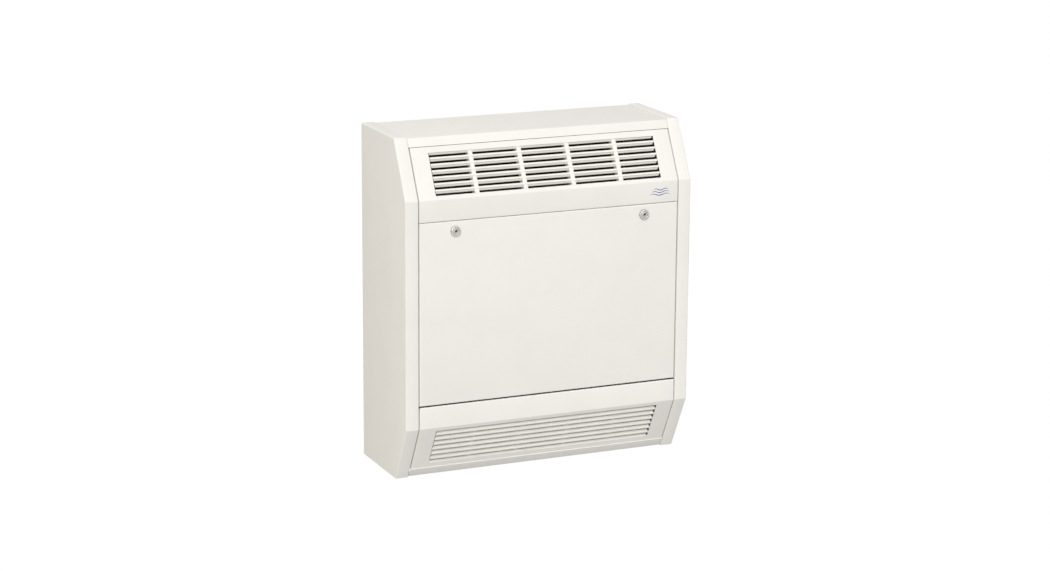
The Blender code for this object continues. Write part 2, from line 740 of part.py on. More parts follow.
def fan_scroll(prefix, side):
    low, high = mirrored(side, FAN_X - SCROLL_WIDTH / 2, FAN_X + SCROLL_WIDTH / 2)
    top = DECK_TOP - SHEET - GAP
    scroll = solid(f"{prefix}_fan_scroll", "galvanised", [prism("X", scroll_outline(SCROLL_WALL, top), low, high)])
    low_y, high_y = discharge_span()
    flange_low = (low - SCROLL_FLANGE, low_y - SCROLL_FLANGE, top - SCROLL_WALL)
    flange_high = (high + SCROLL_FLANGE, high_y + SCROLL_FLANGE, top)
    join(scroll, box(flange_low, flange_high))
    cut(scroll, prism("X", scroll_outline(0.0, top + 0.01), low + SCROLL_WALL, high - SCROLL_WALL))
    cut(scroll, disc("X", (FAN_Y, FAN_Z), IMPELLER_INNER, low - 0.01, high + 0.01, 40))


def impeller_mesh():
    """A squirrel-cage wheel about the X axis: blades between two end rings, on a middle disc with a hub."""
    half = IMPELLER_WIDTH / 2
    ring = 0.003
    thickness = 0.0012
    blades = []
    for k in range(BLADES):
        angle = 2 * math.pi * k / BLADES
        along = Vector((math.cos(angle), math.sin(angle)))
        across = Vector((-along.y, along.x)) * thickness / 2
        root = along * (IMPELLER_INNER + 0.001)
        tip = along * (IMPELLER_RADIUS - 0.001) + across * 6
        corners = [root - across, tip - across, tip + across, root + across]
        blades.append(prism("X", [tuple(c) for c in corners], -half + ring / 2, half - ring / 2))
    wheel = solid("impeller_pattern", "black_plastic", blades)
    join(wheel, disc("X", (0, 0), IMPELLER_RADIUS - 0.003, -ring / 2, ring / 2, WHEEL_SIDES))
    join(wheel, disc("X", (0, 0), HUB_RADIUS, -HUB_HALF, HUB_HALF, 24))
    for low in (-half, half - ring):
        boolean(wheel, "UNION", [disc("X", (0, 0), IMPELLER_RADIUS, low, low + ring, WHEEL_SIDES)], IDENTITY)
    for low in (-half - ring, half - 2 * ring):
        cut(wheel, disc("X", (0, 0), IMPELLER_INNER - 0.0005, low, low + 3 * ring, WHEEL_SIDES))
    cut(wheel, disc("X", (0, 0), SHAFT_RADIUS + GAP, -half, half, 24))
    bpy.context.view_layer.update()
    seen = wheel.evaluated_get(bpy.context.evaluated_depsgraph_get())
    mesh = bpy.data.meshes.new_from_object(seen)
    tools = [change.object for change in wheel.modifiers]
    for helper in (wheel, *tools):
        bpy.data.objects.remove(helper)
    return mesh


def fan_set():
    mesh = impeller_mesh()
    moving = []
    for prefix, side in (("left", -1), ("right", 1)):
        fan_scroll(prefix, side)
        wheel = bpy.data.objects.new(f"{prefix}_impeller", mesh)
        wheel.location = (side * FAN_X, 0, 0)
        bpy.context.scene.collection.objects.link(wheel)
        moving.append(wheel)
    shaft = solid("fan_shaft", "galvanised", [disc("X", (0, 0), SHAFT_RADIUS, -SHAFT_HALF, SHAFT_HALF, 24)])
    axis = bpy.data.objects.new("fan_axis", None)
    axis.location = (0, FAN_Y, FAN_Z)
    bpy.context.scene.collection.objects.link(axis)
    for piece in (shaft, *moving):
        piece.parent = axis
    motor()


def motor():
    """The motor's body with a boss at each end, and the strap that hangs it from the deck."""
    centre = (FAN_Y, FAN_Z)
    boss_radius, boss_half = MOTOR_BOSS
    body = solid("fan_motor", "motor_paint", [disc("X", centre, MOTOR_RADIUS, -MOTOR_HALF, MOTOR_HALF, 40)])
    join(body, disc("X", centre, boss_radius, -boss_half, boss_half, 24))
    cut(body, disc("X", centre, SHAFT_RADIUS + GAP, -2 * boss_half, 2 * boss_half, 24))
    half, inner = STRAP_HALF, MOTOR_RADIUS + STRAP_CLEARANCE
    top = DECK_TOP - SHEET - GAP
    strap = solid("motor_bracket", "galvanised", [disc("X", centre, inner + SHEET, -half, half, 40)])
    join(strap, box((-half, FAN_Y - SHEET, FAN_Z), (half, FAN_Y + SHEET, top - SHEET / 2)))
    join(strap, box((-half, FAN_Y - STRAP_FOOT, top - SHEET), (half, FAN_Y + STRAP_FOOT, top)))
    cut(strap, disc("X", centre, inner, -2 * half, 2 * half, 40))


# Water side
def tube_y(number):
    return TUBE_FIRST_Y + number * TUBE_PITCH


def coil_fins(tube_holes):
    """A finned block with air ways right through it between the rows of tubes."""
    block = box((-COIL_X, COIL_FRONT, COIL_LOW), (COIL_X, COIL_BACK, COIL_HIGH))
    fins = solid("coil_fins", "fins", [block])
    pitch = (2 * COIL_X - FIN_WIDTH) / FIN_WAYS
    ways = []
    for row in range(TUBE_PASSES - 1):
        low_y = tube_y(row) + TUBE_RADIUS + FIN_BAND
        high_y = tube_y(row + 1) - TUBE_RADIUS - FIN_BAND
        for k in range(FIN_WAYS):
            low_x = FIN_WIDTH - COIL_X + k * pitch
            high_x = low_x + pitch - FIN_WIDTH
            ways.append(box((low_x, low_y, COIL_LOW - 0.01), (high_x, high_y, COIL_HIGH + 0.01)))
    cut(fins, *ways)
    cut(fins, *tube_holes)


def coil_tube_path():
    """Up from the flow valve, to and fro through the fins, and down to the return valve."""
    turn = COIL_X + COIL_PLATE + BEND_CLEARANCE + TUBE_PITCH / 2
    valve_top = VALVE_Z + VALVE_HALF + GAP
    first, last = tube_y(0), tube_y(TUBE_PASSES - 1)
    corners = [(VALVE_X, first, valve_top), (VALVE_X, first, TUBE_Z)]
    for k in range(TUBE_PASSES):
        side = 1 if k % 2 == 0 else -1
        if k:
            corners.append((-side * turn, tube_y(k), TUBE_Z))
        if k < TUBE_PASSES - 1:
            corners.append((side * turn, tube_y(k), TUBE_Z))
    return [*corners, (VALVE_X, last, TUBE_Z), (VALVE_X, last, valve_top)]


def coil():
    tube_holes = [disc("X", (tube_y(k), TUBE_Z), TUBE_RADIUS + GAP, -HALF, HALF, 24) for k in range(TUBE_PASSES)]
    coil_fins(tube_holes)
    for prefix, side in (("left", -1), ("right", 1)):
        low, high = mirrored(side, COIL_X + GAP, COIL_X + GAP + COIL_PLATE)
        sheet_box = box((low, COIL_FRONT, DECK_TOP + GAP), (high, COIL_BACK, COIL_HIGH + 0.004))
        plate = solid(f"{prefix}_coil_plate", "galvanised", [sheet_box])
        cut(plate, *tube_holes)
    tube("coil_tubes", "copper", rounded(coil_tube_path(), TUBE_PITCH / 2 - 0.0002), TUBE_RADIUS)
    vent = (VALVE_X + VENT_OUT, tube_y(TUBE_PASSES - 1))
    solid("air_vent", "brass", [disc("Z", vent, VENT_RADIUS, TUBE_Z + TUBE_RADIUS + GAP, TUBE_Z + VENT_TOP, 6)])


def valve(prefix, y, finish):
    """A valve body with a hexagon at each end, and the lever that turns on its stem."""
    centre, stem_centre = (VALVE_X, y), (y, VALVE_Z)
    low, high = VALVE_Z - VALVE_HALF, VALVE_Z + VALVE_HALF
    near, far = VALVE_HEX
    body = solid(f"{prefix}_valve_body", "brass", [disc("Z", centre, VALVE_RADIUS, low, high, 24)])
    join(body, disc("Z", centre, VALVE_HEX_RADIUS, low + near, low + far, 6))
    join(body, disc("Z", centre, VALVE_HEX_RADIUS, high - far, high - near, 6))
    stem_end = VALVE_X + STEM_LENGTH
    join(body, disc("X", stem_centre, STEM_RADIUS, VALVE_X, stem_end, 24))
    cut(body, disc("Z", centre, VALVE_BORE, low - 0.01, low + VALVE_HALF / 2, 24))
    start, end = stem_end + GAP, stem_end + GAP + LEVER_THICKNESS
    lever = solid(f"{prefix}_valve_lever", finish, [disc("X", stem_centre, LEVER_HUB_RADIUS, start, end, 24)])
    grip_low = (start, y - LEVER_HALF_WIDTH, VALVE_Z - LEVER_LENGTH)
    grip_high = (end - 0.001, y + LEVER_HALF_WIDTH, VALVE_Z)
    join(lever, box(grip_low, grip_high))
    pivot(f"{prefix}_valve_axis", (stem_end, y, VALVE_Z), lever)


# Filter
def filter_set():
    """The framed filter, and the two channels it slides up out of."""
    half = FILTER_THICKNESS / 2
    low = (-FILTER_X, FILTER_Y - half, FILTER_LOW)
    high = (FILTER_X, FILTER_Y + half, FILTER_HIGH)
    frame = solid("filter_frame", "galvanised", [box(low, high)])
    border = FILTER_BORDER
    window_low = (low[0] + border, low[1] - 0.01, low[2] + border)
    window_high = (high[0] - border, high[1] + 0.01, high[2] - border)
    cut(frame, box(window_low, window_high))
    border += GAP
    felt_low = (low[0] + border, low[1] + SHEET, low[2] + border)
    felt_high = (high[0] - border, high[1] - SHEET, high[2] - border)
    media = solid("filter_media", "filter_felt", [box(felt_low, felt_high)])
    pivot("filter_lift", (0, FILTER_Y, FILTER_LOW), frame, media)
    room = half + FILTER_CLEARANCE
    deep = room + SHEET
    for prefix, side in (("left", -1), ("right", 1)):
        left, right = mirrored(side, FILTER_X - FILTER_RAIL_DEPTH, CHASSIS_X - GAP)
        outer = box((left, FILTER_Y - deep, FILTER_LOW - 0.005), (right, FILTER_Y + deep, FILTER_RAIL_TOP))
        channel = solid(f"{prefix}_filter_rail", "galvanised", [outer])
        left, right = mirrored(side, FILTER_X - 2 * FILTER_RAIL_DEPTH, FILTER_X + FILTER_CLEARANCE)
        slot_low = (left, FILTER_Y - room, FILTER_LOW - GAP)
        slot_high = (right, FILTER_Y + room, FILTER_RAIL_TOP + 0.01)
        cut(channel, box(slot_low, slot_high))


# Controls
def control_box():
    """An open tray with a gland's hole and two leads' holes, and a lid with room for the knob and the rocker."""
    low, high, wall = BOX_LOW, BOX_HIGH, BOX_WALL
    tray = solid("control_box", "box_plastic", [box(low, high)])
    inside_low = (low[0] + wall, low[1] - 0.01, low[2] + wall)
    inside_high = (high[0] - wall, high[1] - wall, high[2] - wall)
    cut(tray, box(inside_low, inside_high))
    gland = (low[0] + GLAND_INSET, (low[1] + high[1]) / 2)
    cut(tray, disc("Z", gland, GLAND_NECK + 0.0005, low[2] - 0.01, low[2] + 0.01, 24))
    leads = [(low[1] + LEAD_INSET, z) for z in (LEAD_Z, SENSOR_Z)]
    cut(tray, *[disc("X", lead, LEAD_RADIUS + 0.0008, low[0] - 0.01, low[0] + 0.01, 16) for lead in leads])
    plate = box((low[0], LID_FRONT, low[2]), (high[0], LID_FRONT + SHEET, high[2]))
    lid = solid("control_box_lid", "box_plastic", [plate])
    across, up = ROCKER_ROOM
    before, behind = LID_FRONT - 0.01, LID_FRONT + 0.01
    spindle_hole = disc("Y", (KNOB_X, KNOB_Z), SPINDLE_RADIUS + 0.001, before, behind, 24)
    rocker_low = (KNOB_X - across, before, ROCKER_Z - up)
    rocker_high = (KNOB_X + across, behind, ROCKER_Z + up)
    cut(lid, spindle_hole, box(rocker_low, rocker_high))


def speed_knob():
    centre = (KNOB_X, KNOB_Z)
    front = LID_FRONT - KNOB_DEPTH
    knob = solid("speed_knob", "black_plastic", [disc("Y", centre, KNOB_RADIUS, front, LID_FRONT - GAP, 36)])
    join(knob, disc("Y", centre, SPINDLE_RADIUS, LID_FRONT - 0.005, LID_FRONT + SPINDLE_BACK, 24))
    pointer_low = (KNOB_X - POINTER_HALF, front - 0.006, KNOB_Z + POINTER_START)
    pointer_high = (KNOB_X + POINTER_HALF, front + 0.001, KNOB_Z + KNOB_RADIUS + 0.006)
    cut(knob, box(pointer_low, pointer_high))
    pivot("speed_knob_axis", (KNOB_X, LID_FRONT, KNOB_Z), knob)


def power_rocker():
    """A key with a shallow V face, tipped to one side on its axis in the lid."""
    y = LID_FRONT + SHEET / 2
    place = Matrix.Translation((KNOB_X, y, ROCKER_Z)) @ Matrix.Rotation(-ROCKER_TILT, 4, "X")
    across, up = ROCKER_HALF
    key = [(-0.0045, -up), (-0.0030, 0.0), (-0.0045, up), (0.0060, 0.0060), (0.0060, -0.0060)]
    rocker = solid("power_rocker", "black_plastic", [prism("X", key, -across, across)], place)
    pivot("power_rocker_axis", (KNOB_X, y, ROCKER_Z), rocker)


def box_fittings():
    """The terminal block and capacitor inside the control box, and the cable gland under it."""
    low, high = BOX_LOW, BOX_HIGH
    middle_y = (low[1] + high[1]) / 2
    floor_z = low[2] + BOX_WALL + GAP
    back = high[1] - BOX_WALL - GAP
    left, deep, tall = TERMINAL_SIZE
    terminals = box((KNOB_X - left, back - deep, floor_z), (high[0] - 0.004, back, floor_z + tall))
    solid("terminal_block", "box_plastic", [terminals])
    can = (low[0] + GLAND_INSET - 0.001, middle_y + 0.006)
    solid("capacitor", "black_plastic", [disc("Z", can, CAPACITOR_RADIUS, floor_z + 0.032, floor_z + 0.082, 24)])
    centre = (low[0] + GLAND_INSET, middle_y)
    gland_low, gland_high = low[2] - GLAND_LENGTH, low[2] - GAP
    gland = solid("cable_gland", "black_plastic", [disc("Z", centre, GLAND_RADIUS, gland_low, gland_high, 6)])
    join(gland, disc("Z", centre, GLAND_NECK, low[2] - 0.020, low[2] + 0.010, 24))
    cut(gland, disc("Z", centre, GLAND_BORE, low[2] - 0.03, low[2] + 0.02, 24))


def wiring():
    """The motor's lead, and the thermostat on the flow pipe with its lead. Both leads hang in front of the fans
    and end in the control box."""
    lead_y = BOX_LOW[1] + LEAD_INSET
    end_x = BOX_LOW[0] + 0.006
    lead_x = 0.030
    corners = [
        (lead_x, FAN_Y - MOTOR_RADIUS - GAP, LEAD_Z),
        (lead_x, lead_y, LEAD_Z),
        (end_x, lead_y, LEAD_Z),
    ]
    tube("motor_lead", "lead_sheath", hanging(rounded(corners, 0.015), LEAD_SAG), LEAD_RADIUS)
    x, y, z = VALVE_X + TUBE_RADIUS + GAP, tube_y(0), SENSOR_Z
    deep, across, up = SENSOR_SIZE
    body = box((x, y - across, z - up), (x + deep, y + across, z + up))
    solid("pipe_thermostat", "black_plastic", [body])
    corners = [(x + deep + GAP, y, z), (x + 0.040, y, z), (x + 0.060, lead_y, z), (end_x, lead_y, z)]
    tube("thermostat_lead", "lead_sheath", hanging(rounded(corners, 0.020), SENSOR_LEAD_SAG), SENSOR_LEAD_RADIUS)


def controls():
    control_box()
    speed_knob()
    power_rocker()
    box_fittings()
    wiring()


def build():
    for leftover in list(bpy.data.objects):
        bpy.data.objects.remove(leftover)
    for prefix, side in (("left", -1), ("right", 1)):
        side_panel(f"{prefix}_side_panel", side)
        chassis_plate(prefix, side)
        hinge(prefix, side)
    top_panel()
    upper_front_panel()
    lower_front_panel()
    bottom_rail()
    back_panel()
    plenum_lining()
    grille("outlet_grille", OUTLET_START, UPPER_SLOPE, OUTLET_RIB)
    grille("inlet_grille", INLET_START, LOWER_SLOPE, INLET_RIB, upside_down=True)
    door_pieces = door_pan() + lock("left", -1) + lock("right", 1)
    pivot("door_axis", (0, HINGE_Y, HINGE_Z), *door_pieces)
    door_keeper_rail()
    fan_deck()
    fan_set()
    coil()
    valve("flow", tube_y(0), "valve_red")
    valve("return", tube_y(TUBE_PASSES - 1), "valve_blue")
    filter_set()
    controls()


build()
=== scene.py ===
"""Looks of the fan convector heater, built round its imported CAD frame.

Units are metres. X runs along the width, the front faces -Y and +Z is up. Every length comes from the CAD
nodes, or is named below where only the looks need it.
"""

import json
import math

import bmesh
import bpy
from mathutils import Matrix, Vector


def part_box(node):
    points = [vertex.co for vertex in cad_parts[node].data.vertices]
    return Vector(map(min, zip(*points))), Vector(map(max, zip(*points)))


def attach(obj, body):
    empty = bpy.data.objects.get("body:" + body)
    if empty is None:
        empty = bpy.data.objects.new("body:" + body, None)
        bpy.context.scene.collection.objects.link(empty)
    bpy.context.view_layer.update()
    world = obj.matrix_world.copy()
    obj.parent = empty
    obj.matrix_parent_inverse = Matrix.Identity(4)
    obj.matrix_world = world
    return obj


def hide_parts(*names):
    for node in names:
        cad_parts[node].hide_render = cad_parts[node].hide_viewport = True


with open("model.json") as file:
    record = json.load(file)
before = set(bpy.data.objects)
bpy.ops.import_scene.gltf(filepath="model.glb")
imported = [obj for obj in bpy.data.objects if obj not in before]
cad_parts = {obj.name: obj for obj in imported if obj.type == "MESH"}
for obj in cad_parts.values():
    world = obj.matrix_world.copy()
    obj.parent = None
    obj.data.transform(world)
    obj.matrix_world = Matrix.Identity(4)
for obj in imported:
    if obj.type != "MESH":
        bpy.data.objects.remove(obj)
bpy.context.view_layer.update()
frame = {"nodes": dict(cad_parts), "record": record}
NODES = frame["nodes"]

# How the sheet metal is folded
SHEET = 0.0015
BEND = 0.0022
FRONT_BEND = 0.0032
EDGE_BEND = 0.0008
LEAST_BEND = 0.0002
BEND_STEPS = 4
EDGE_ROUND = 0.0003
EAR_WIDTH = 0.0025
EAR_ROOM = 0.002
INK = 0.00006
MARK_INK = "mark_ink"
QUARTER_TURN = [math.pi / 2 * k / BEND_STEPS for k in range(BEND_STEPS + 1)]

X_AXIS, Y_AXIS, Z_AXIS = Vector((1, 0, 0)), Vector((0, 1, 0)), Vector((0, 0, 1))


# Measures taken from the CAD nodes
def points_of(node):
    return [v.co.copy() for v in NODES[node].data.vertices]


def near(a, b, within=2e-5):
    return abs(a - b) < within


def slope_frame(origin, down):
    """Local x is world X, local y runs down the slope and local z goes into the casing."""
    inward = X_AXIS.cross(down)
    rows = [(X_AXIS[k], down[k], inward[k], origin[k]) for k in range(3)]
    return Matrix([*rows, (0, 0, 0, 1)])


def on_slope(slope, down, depth=0.0):
    """The (y, z) of a point this far down a slope and this deep under it."""
    point = slope @ Vector((0, down, depth))
    return point.y, point.z


def points_on(slope, node):
    """A node's points in a slope's own frame."""
    inverse = slope.inverted()
    return [inverse @ p for p in points_of(node)]


def down_slope(slope, node):
    """Where a node starts and ends down a slope, measured on the slope's own face."""
    seen = [p.y for p in points_on(slope, node) if near(p.z, 0)]
    return min(seen), max(seen)


def opening(slope, node, panel_x):
    """A panel's cut-out: half its width, and its start and end down the slope."""
    inside = [p for p in points_on(slope, node) if abs(p.x) < panel_x - 2 * SHEET]
    return max(p.x for p in inside), min(p.y for p in inside), max(p.y for p in inside)


side_low, side_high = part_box("right_side_panel")
HALF, LIP_X = side_high.x, side_low.x
FRONT_Y, BACK_Y, HEIGHT = side_low.y, side_high.y, side_high.z
side_outline = [p for p in points_of("right_side_panel") if near(p.x, HALF)]
LOWER_BEND_Z = min(p.z for p in side_outline if near(p.y, FRONT_Y))
UPPER_BEND_Z = max(p.z for p in side_outline if near(p.y, FRONT_Y))
SLOPE_TOP_Y = min(p.y for p in side_outline if near(p.z, HEIGHT))
UPPER_SLOPE = slope_frame(
    Vector((0, SLOPE_TOP_Y, HEIGHT)),
    Vector((0, FRONT_Y - SLOPE_TOP_Y, UPPER_BEND_Z - HEIGHT)).normalized(),
)
LOWER_SLOPE = slope_frame(
    Vector((0, FRONT_Y, LOWER_BEND_Z)),
    Vector((0, SLOPE_TOP_Y - FRONT_Y, -LOWER_BEND_Z)).normalized(),
)
_, top_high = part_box("top_panel")
TOP_PANEL_X = top_high.x
door_low, door_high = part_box("access_door")
RETURN = door_high.y - door_low.y
upper_low, upper_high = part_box("upper_front_panel")
PANEL_X = upper_high.x
_, lower_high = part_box("lower_front_panel")
LOWER_RETURN_Y = max(p.y for p in points_of("lower_front_panel") if near(p.z, lower_high.z))
LIP_FLANGE = min(p.z for p in points_of("right_side_panel") if near(p.x, LIP_X) and p.z > SHEET)
SIDE_RETURN = top_high.z - min(p.z for p in points_of("top_panel") if near(p.y, top_high.y))


# Materials
MATERIALS = {}


def shader_of(name):
    """A new material, kept under its slot's name: its node tree and its shader."""
    made = bpy.data.materials.new(name)
    made.use_nodes = True
    MATERIALS[name] = made
    return made.node_tree, made.node_tree.nodes["Principled BSDF"]


def feed(tree, node, inputs):
    """Sets a node's inputs. Each takes a number, a colour or another node's output."""
    for name, value in inputs.items():
        if isinstance(value, bpy.types.NodeSocket):
            tree.links.new(value, node.inputs[name])
        else:
            node.inputs[name].default_value = value


def node_of(tree, kind, inputs):
    made = tree.nodes.new(f"ShaderNode{kind}")
    feed(tree, made, inputs)
    return made


def coordinates(tree, stretch=(1, 1, 1)):
    """Object coordinates in metres, stretched along each axis."""
    place = node_of(tree, "TexCoord", {})
    scaled = node_of(tree, "Mapping", {"Scale": stretch, "Vector": place.outputs["Object"]})
    return scaled.outputs["Vector"]


def noise(tree, vector, scale, detail=3.0, roughness=0.55):
    inputs = {"Scale": scale, "Detail": detail, "Roughness": roughness, "Vector": vector}
    return node_of(tree, "TexNoise", inputs).outputs["Fac"]


def cells(tree, vector, scale, output="Color"):
    return node_of(tree, "TexVoronoi", {"Scale": scale, "Vector": vector}).outputs[output]


def ramp(tree, value, low, high, spread=(0.35, 0.65)):
    """A colour between two colours, as the value goes across the spread."""
    made = node_of(tree, "ValToRGB", {"Fac": value})
    for element, place, colour in zip(made.color_ramp.elements, spread, (low, high)):
        element.position = place
        element.color = (*colour, 1)
    return made.outputs["Color"]


def between(tree, value, low, high):
    inputs = {"To Min": low, "To Max": high, "Value": value}
    return node_of(tree, "MapRange", inputs).outputs["Result"]


def bump(tree, shader, height, strength, distance):
    made = node_of(tree, "Bump", {"Strength": strength, "Distance": distance, "Height": height})
    feed(tree, shader, {"Normal": made.outputs["Normal"]})


def scaled_colour(colour, share):
    return tuple(channel * share for channel in colour)


def finish(
    name, colour, roughness, metallic=0.0, vary=0.04, patch=14.0, grain=None, stretch=(1, 1, 1), shine=0.5,
):
    """A finish whose colour and roughness drift a little. A grain is (scale, strength, height)."""
    tree, shader = shader_of(name)
    vector = coordinates(tree, stretch)
    drift = noise(tree, vector, patch)
    dark, light = scaled_colour(colour, 1 - vary), scaled_colour(colour, 1 + vary / 2)
    colours = ramp(tree, drift, dark, light)
    wear = noise(tree, vector, patch * 6, detail=5.0)
    feed(tree, shader, {
        "Base Color": colours,
        "Roughness": between(tree, wear, roughness * 0.85, roughness * 1.15),
        "Metallic": metallic,
        "Specular IOR Level": shine,
    })
    if grain:
        scale, strength, height = grain
        bump(tree, shader, noise(tree, vector, scale, detail=2.0), strength, height)


def spangled_zinc(name):
    """Hot-dip galvanised sheet: angular crystals of slightly different grey."""
    tree, shader = shader_of(name)
    vector = coordinates(tree)
    crystal = cells(tree, vector, 120.0)
    feed(tree, shader, {
        "Base Color": ramp(tree, crystal, (0.44, 0.46, 0.47), (0.60, 0.62, 0.63), (0.2, 0.8)),
        "Roughness": between(tree, crystal, 0.32, 0.50),
        "Metallic": 1.0,
    })
    bump(tree, shader, noise(tree, vector, 260.0), 0.10, 0.0002)


def woven_felt(name):
    tree, shader = shader_of(name)
    vector = coordinates(tree)
    fibres = noise(tree, vector, 900.0, detail=6.0, roughness=0.8)
    feed(tree, shader, {
        "Base Color": ramp(tree, fibres, (0.52, 0.55, 0.54), (0.80, 0.82, 0.80)),
        "Roughness": 0.95,
    })
    bump(tree, shader, fibres, 0.8, 0.0012)


# Painted shade: this lining's near-black, warm colour stands in for the deep shade seen through the grille
# gaps.
def open_foam(name):
    tree, shader = shader_of(name)
    vector = coordinates(tree)
    pores = cells(tree, vector, 520.0, "Distance")
    feed(tree, shader, {
        "Base Color": ramp(tree, pores, (0.014, 0.012, 0.009), (0.060, 0.052, 0.042), (0.1, 0.6)),
        "Roughness": 0.92,
    })
    bump(tree, shader, pores, 0.7, 0.0010)


COAT_GRAIN = (1500.0, 0.10, 0.0002)
DIP_GRAIN = (900.0, 0.2, 0.0003)
finish("casing_coat", (0.866, 0.851, 0.819), 0.56, vary=0.012, grain=COAT_GRAIN, shine=0.30)
finish("grille_coat", (0.885, 0.872, 0.82), 0.56, vary=0.02, grain=COAT_GRAIN, shine=0.30)
spangled_zinc("galvanised")
finish("chrome", (0.90, 0.88, 0.86), 0.48, 1.0, vary=0.05, patch=60.0)
finish("fins", (0.74, 0.75, 0.76), 0.35, 1.0, vary=0.06, patch=40.0, stretch=(4, 1, 1))
finish("copper", (0.62, 0.33, 0.21), 0.32, 1.0, vary=0.25, patch=30.0)
finish("brass", (0.66, 0.51, 0.26), 0.33, 1.0, vary=0.10, patch=60.0)
finish("motor_paint", (0.055, 0.056, 0.06), 0.42, vary=0.15, grain=(900.0, 0.25, 0.0003))
finish("black_plastic", (0.022, 0.022, 0.023), 0.45, vary=0.10, grain=(2200.0, 0.3, 0.0002))
finish("box_plastic", (0.40, 0.41, 0.42), 0.48, vary=0.05, grain=(1800.0, 0.3, 0.0002))
finish("valve_blue", (0.03, 0.12, 0.42), 0.40, vary=0.08, grain=DIP_GRAIN)
finish("valve_red", (0.50, 0.04, 0.035), 0.40, vary=0.08, grain=DIP_GRAIN)
open_foam("foam")
woven_felt("filter_felt")
finish("lead_sheath", (0.03, 0.03, 0.03), 0.55, vary=0.10, patch=80.0)
finish(MARK_INK, (0.035, 0.06, 0.36), 0.50, vary=0.05)


# Mesh helpers
def fillet(points, radius, steps=5, closed=False):
    """The line through (a, b) points with its corners rounded. There is one radius, or one per point."""
    radii = radius if isinstance(radius, (list, tuple)) else [radius] * len(points)
    line = []
    for k, point in enumerate(points):
        corner = Vector(point)
        if not closed and k in (0, len(points) - 1):
            line.append(tuple(corner))
            continue
        into = (Vector(points[k - 1]) - corner).normalized()
        out = (Vector(points[(k + 1) % len(points)]) - corner).normalized()
        half = into.angle(out) / 2
        if radii[k] <= 0 or half > math.radians(89.5):
            line.append(tuple(corner))
            continue
        reach = radii[k] / math.tan(half)
        centre = corner + (into + out).normalized() * (radii[k] / math.sin(half))
        first, last = corner + into * reach - centre, corner + out * reach - centre
        turn = first.angle_signed(last)
        for step in range(steps + 1):
            arm = first.copy()
            arm.rotate(Matrix.Rotation(-turn * step / steps, 2))
            line.append(tuple(centre + arm))
    return line


def offset_line(points, distance):
    """An open line moved to its right-hand side, mitred at its bends."""
    moved = []
    for k, point in enumerate(points):
        normals = []
        for a, b in ((k - 1, k), (k, k + 1)):
            if 0 <= a and b < len(points):
                along = Vector(points[b]) - Vector(points[a])
                normals.append(Vector((along.y, -along.x)).normalized())
        middle = sum(normals, Vector((0, 0))).normalized()
        moved.append(tuple(Vector(point) + middle * (distance / middle.dot(normals[0]))))
    return moved


def inset_loop(points, distance):
    """A closed anticlockwise loop moved inwards, mitred at its corners."""
    moved = []
    for k, point in enumerate(points):
        before, after = Vector(points[k - 1]), Vector(points[(k + 1) % len(points)])
        here = Vector(point)
        sides = (here - before, after - here)
        normals = [Vector((-side.y, side.x)).normalized() for side in sides]
        middle = (normals[0] + normals[1]).normalized()
        moved.append(tuple(here + middle * (distance / middle.dot(normals[0]))))
    return moved


def bridge(shape, first, second, closed=True, skip=()):
    """Faces between two rows of vertices."""
    count = len(first)
    for k in range(count if closed else count - 1):
        if k not in skip:
            after = (k + 1) % count
            shape.faces.new((first[k], first[after], second[after], second[k]))


def bridge_rows(shape, rows, closed=True):
    """Faces from each row to the next."""
    for first, second in zip(rows, rows[1:]):
        bridge(shape, first, second, closed)


def close_ends(shape, rows):
    shape.faces.new(rows[0])
    shape.faces.new(rows[-1])


def row_of(shape, points):
    return [shape.verts.new(p) for p in points]


def show(name, data):
    """A new object in the scene."""
    made = bpy.data.objects.new(name, data)
    bpy.context.scene.collection.objects.link(made)
    return made


def place_piece(
    name, shape, slot, body, replaces=(), thickness=0.0, bevel=EDGE_ROUND, smooth=30, matrix=None,
):
    """Turns a bmesh into a shown piece that rides on a CAD body."""
    if matrix is not None:
        bmesh.ops.transform(shape, matrix=matrix, verts=shape.verts)
    bmesh.ops.recalc_face_normals(shape, faces=shape.faces)
    mesh = bpy.data.meshes.new(name)
    shape.to_mesh(mesh)
    shape.free()
    mesh.materials.append(MATERIALS[slot])
    mesh.shade_smooth()
    mesh.set_sharp_from_angle(angle=math.radians(smooth))
    made = show(name, mesh)
    if thickness:
        wall = made.modifiers.new("Wall", "SOLIDIFY")
        wall.thickness = thickness
        wall.offset = -1
        wall.use_even_offset = True
    if bevel:
        round_edges(made, bevel)
    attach(made, body)
    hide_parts(*replaces)
    return made


def round_edges(obj, width, segments=2):
    soft = obj.modifiers.new("Soft edges", "BEVEL")
    soft.width = width
    soft.segments = segments
    soft.limit_method = "ANGLE"
    soft.angle_limit = math.radians(40)
    soft.harden_normals = True


def swept_x(shape, loop, low, high, matrix=None):
    """A closed (y, z) loop drawn out along X, with its ends closed."""
    ends = [row_of(shape, [(x, a, b) for a, b in loop]) for x in (low, high)]
    bridge(shape, *ends)
    shape.faces.new(ends[0])
    shape.faces.new(list(reversed(ends[1])))
    if matrix is not None:
        bmesh.ops.transform(shape, matrix=matrix, verts=ends[0] + ends[1])


def block(shape, low, high, matrix=None):
    loop = [(low[1], low[2]), (high[1], low[2]), (high[1], high[2]), (low[1], high[2])]
    swept_x(shape, loop, low[0], high[0], matrix)


def circle_arms(across, other, steps):
    """Unit arms all round a circle, from across towards other."""
    turns = [2 * math.pi * k / steps for k in range(steps)]
    return [across * math.cos(a) + other * math.sin(a) for a in turns]


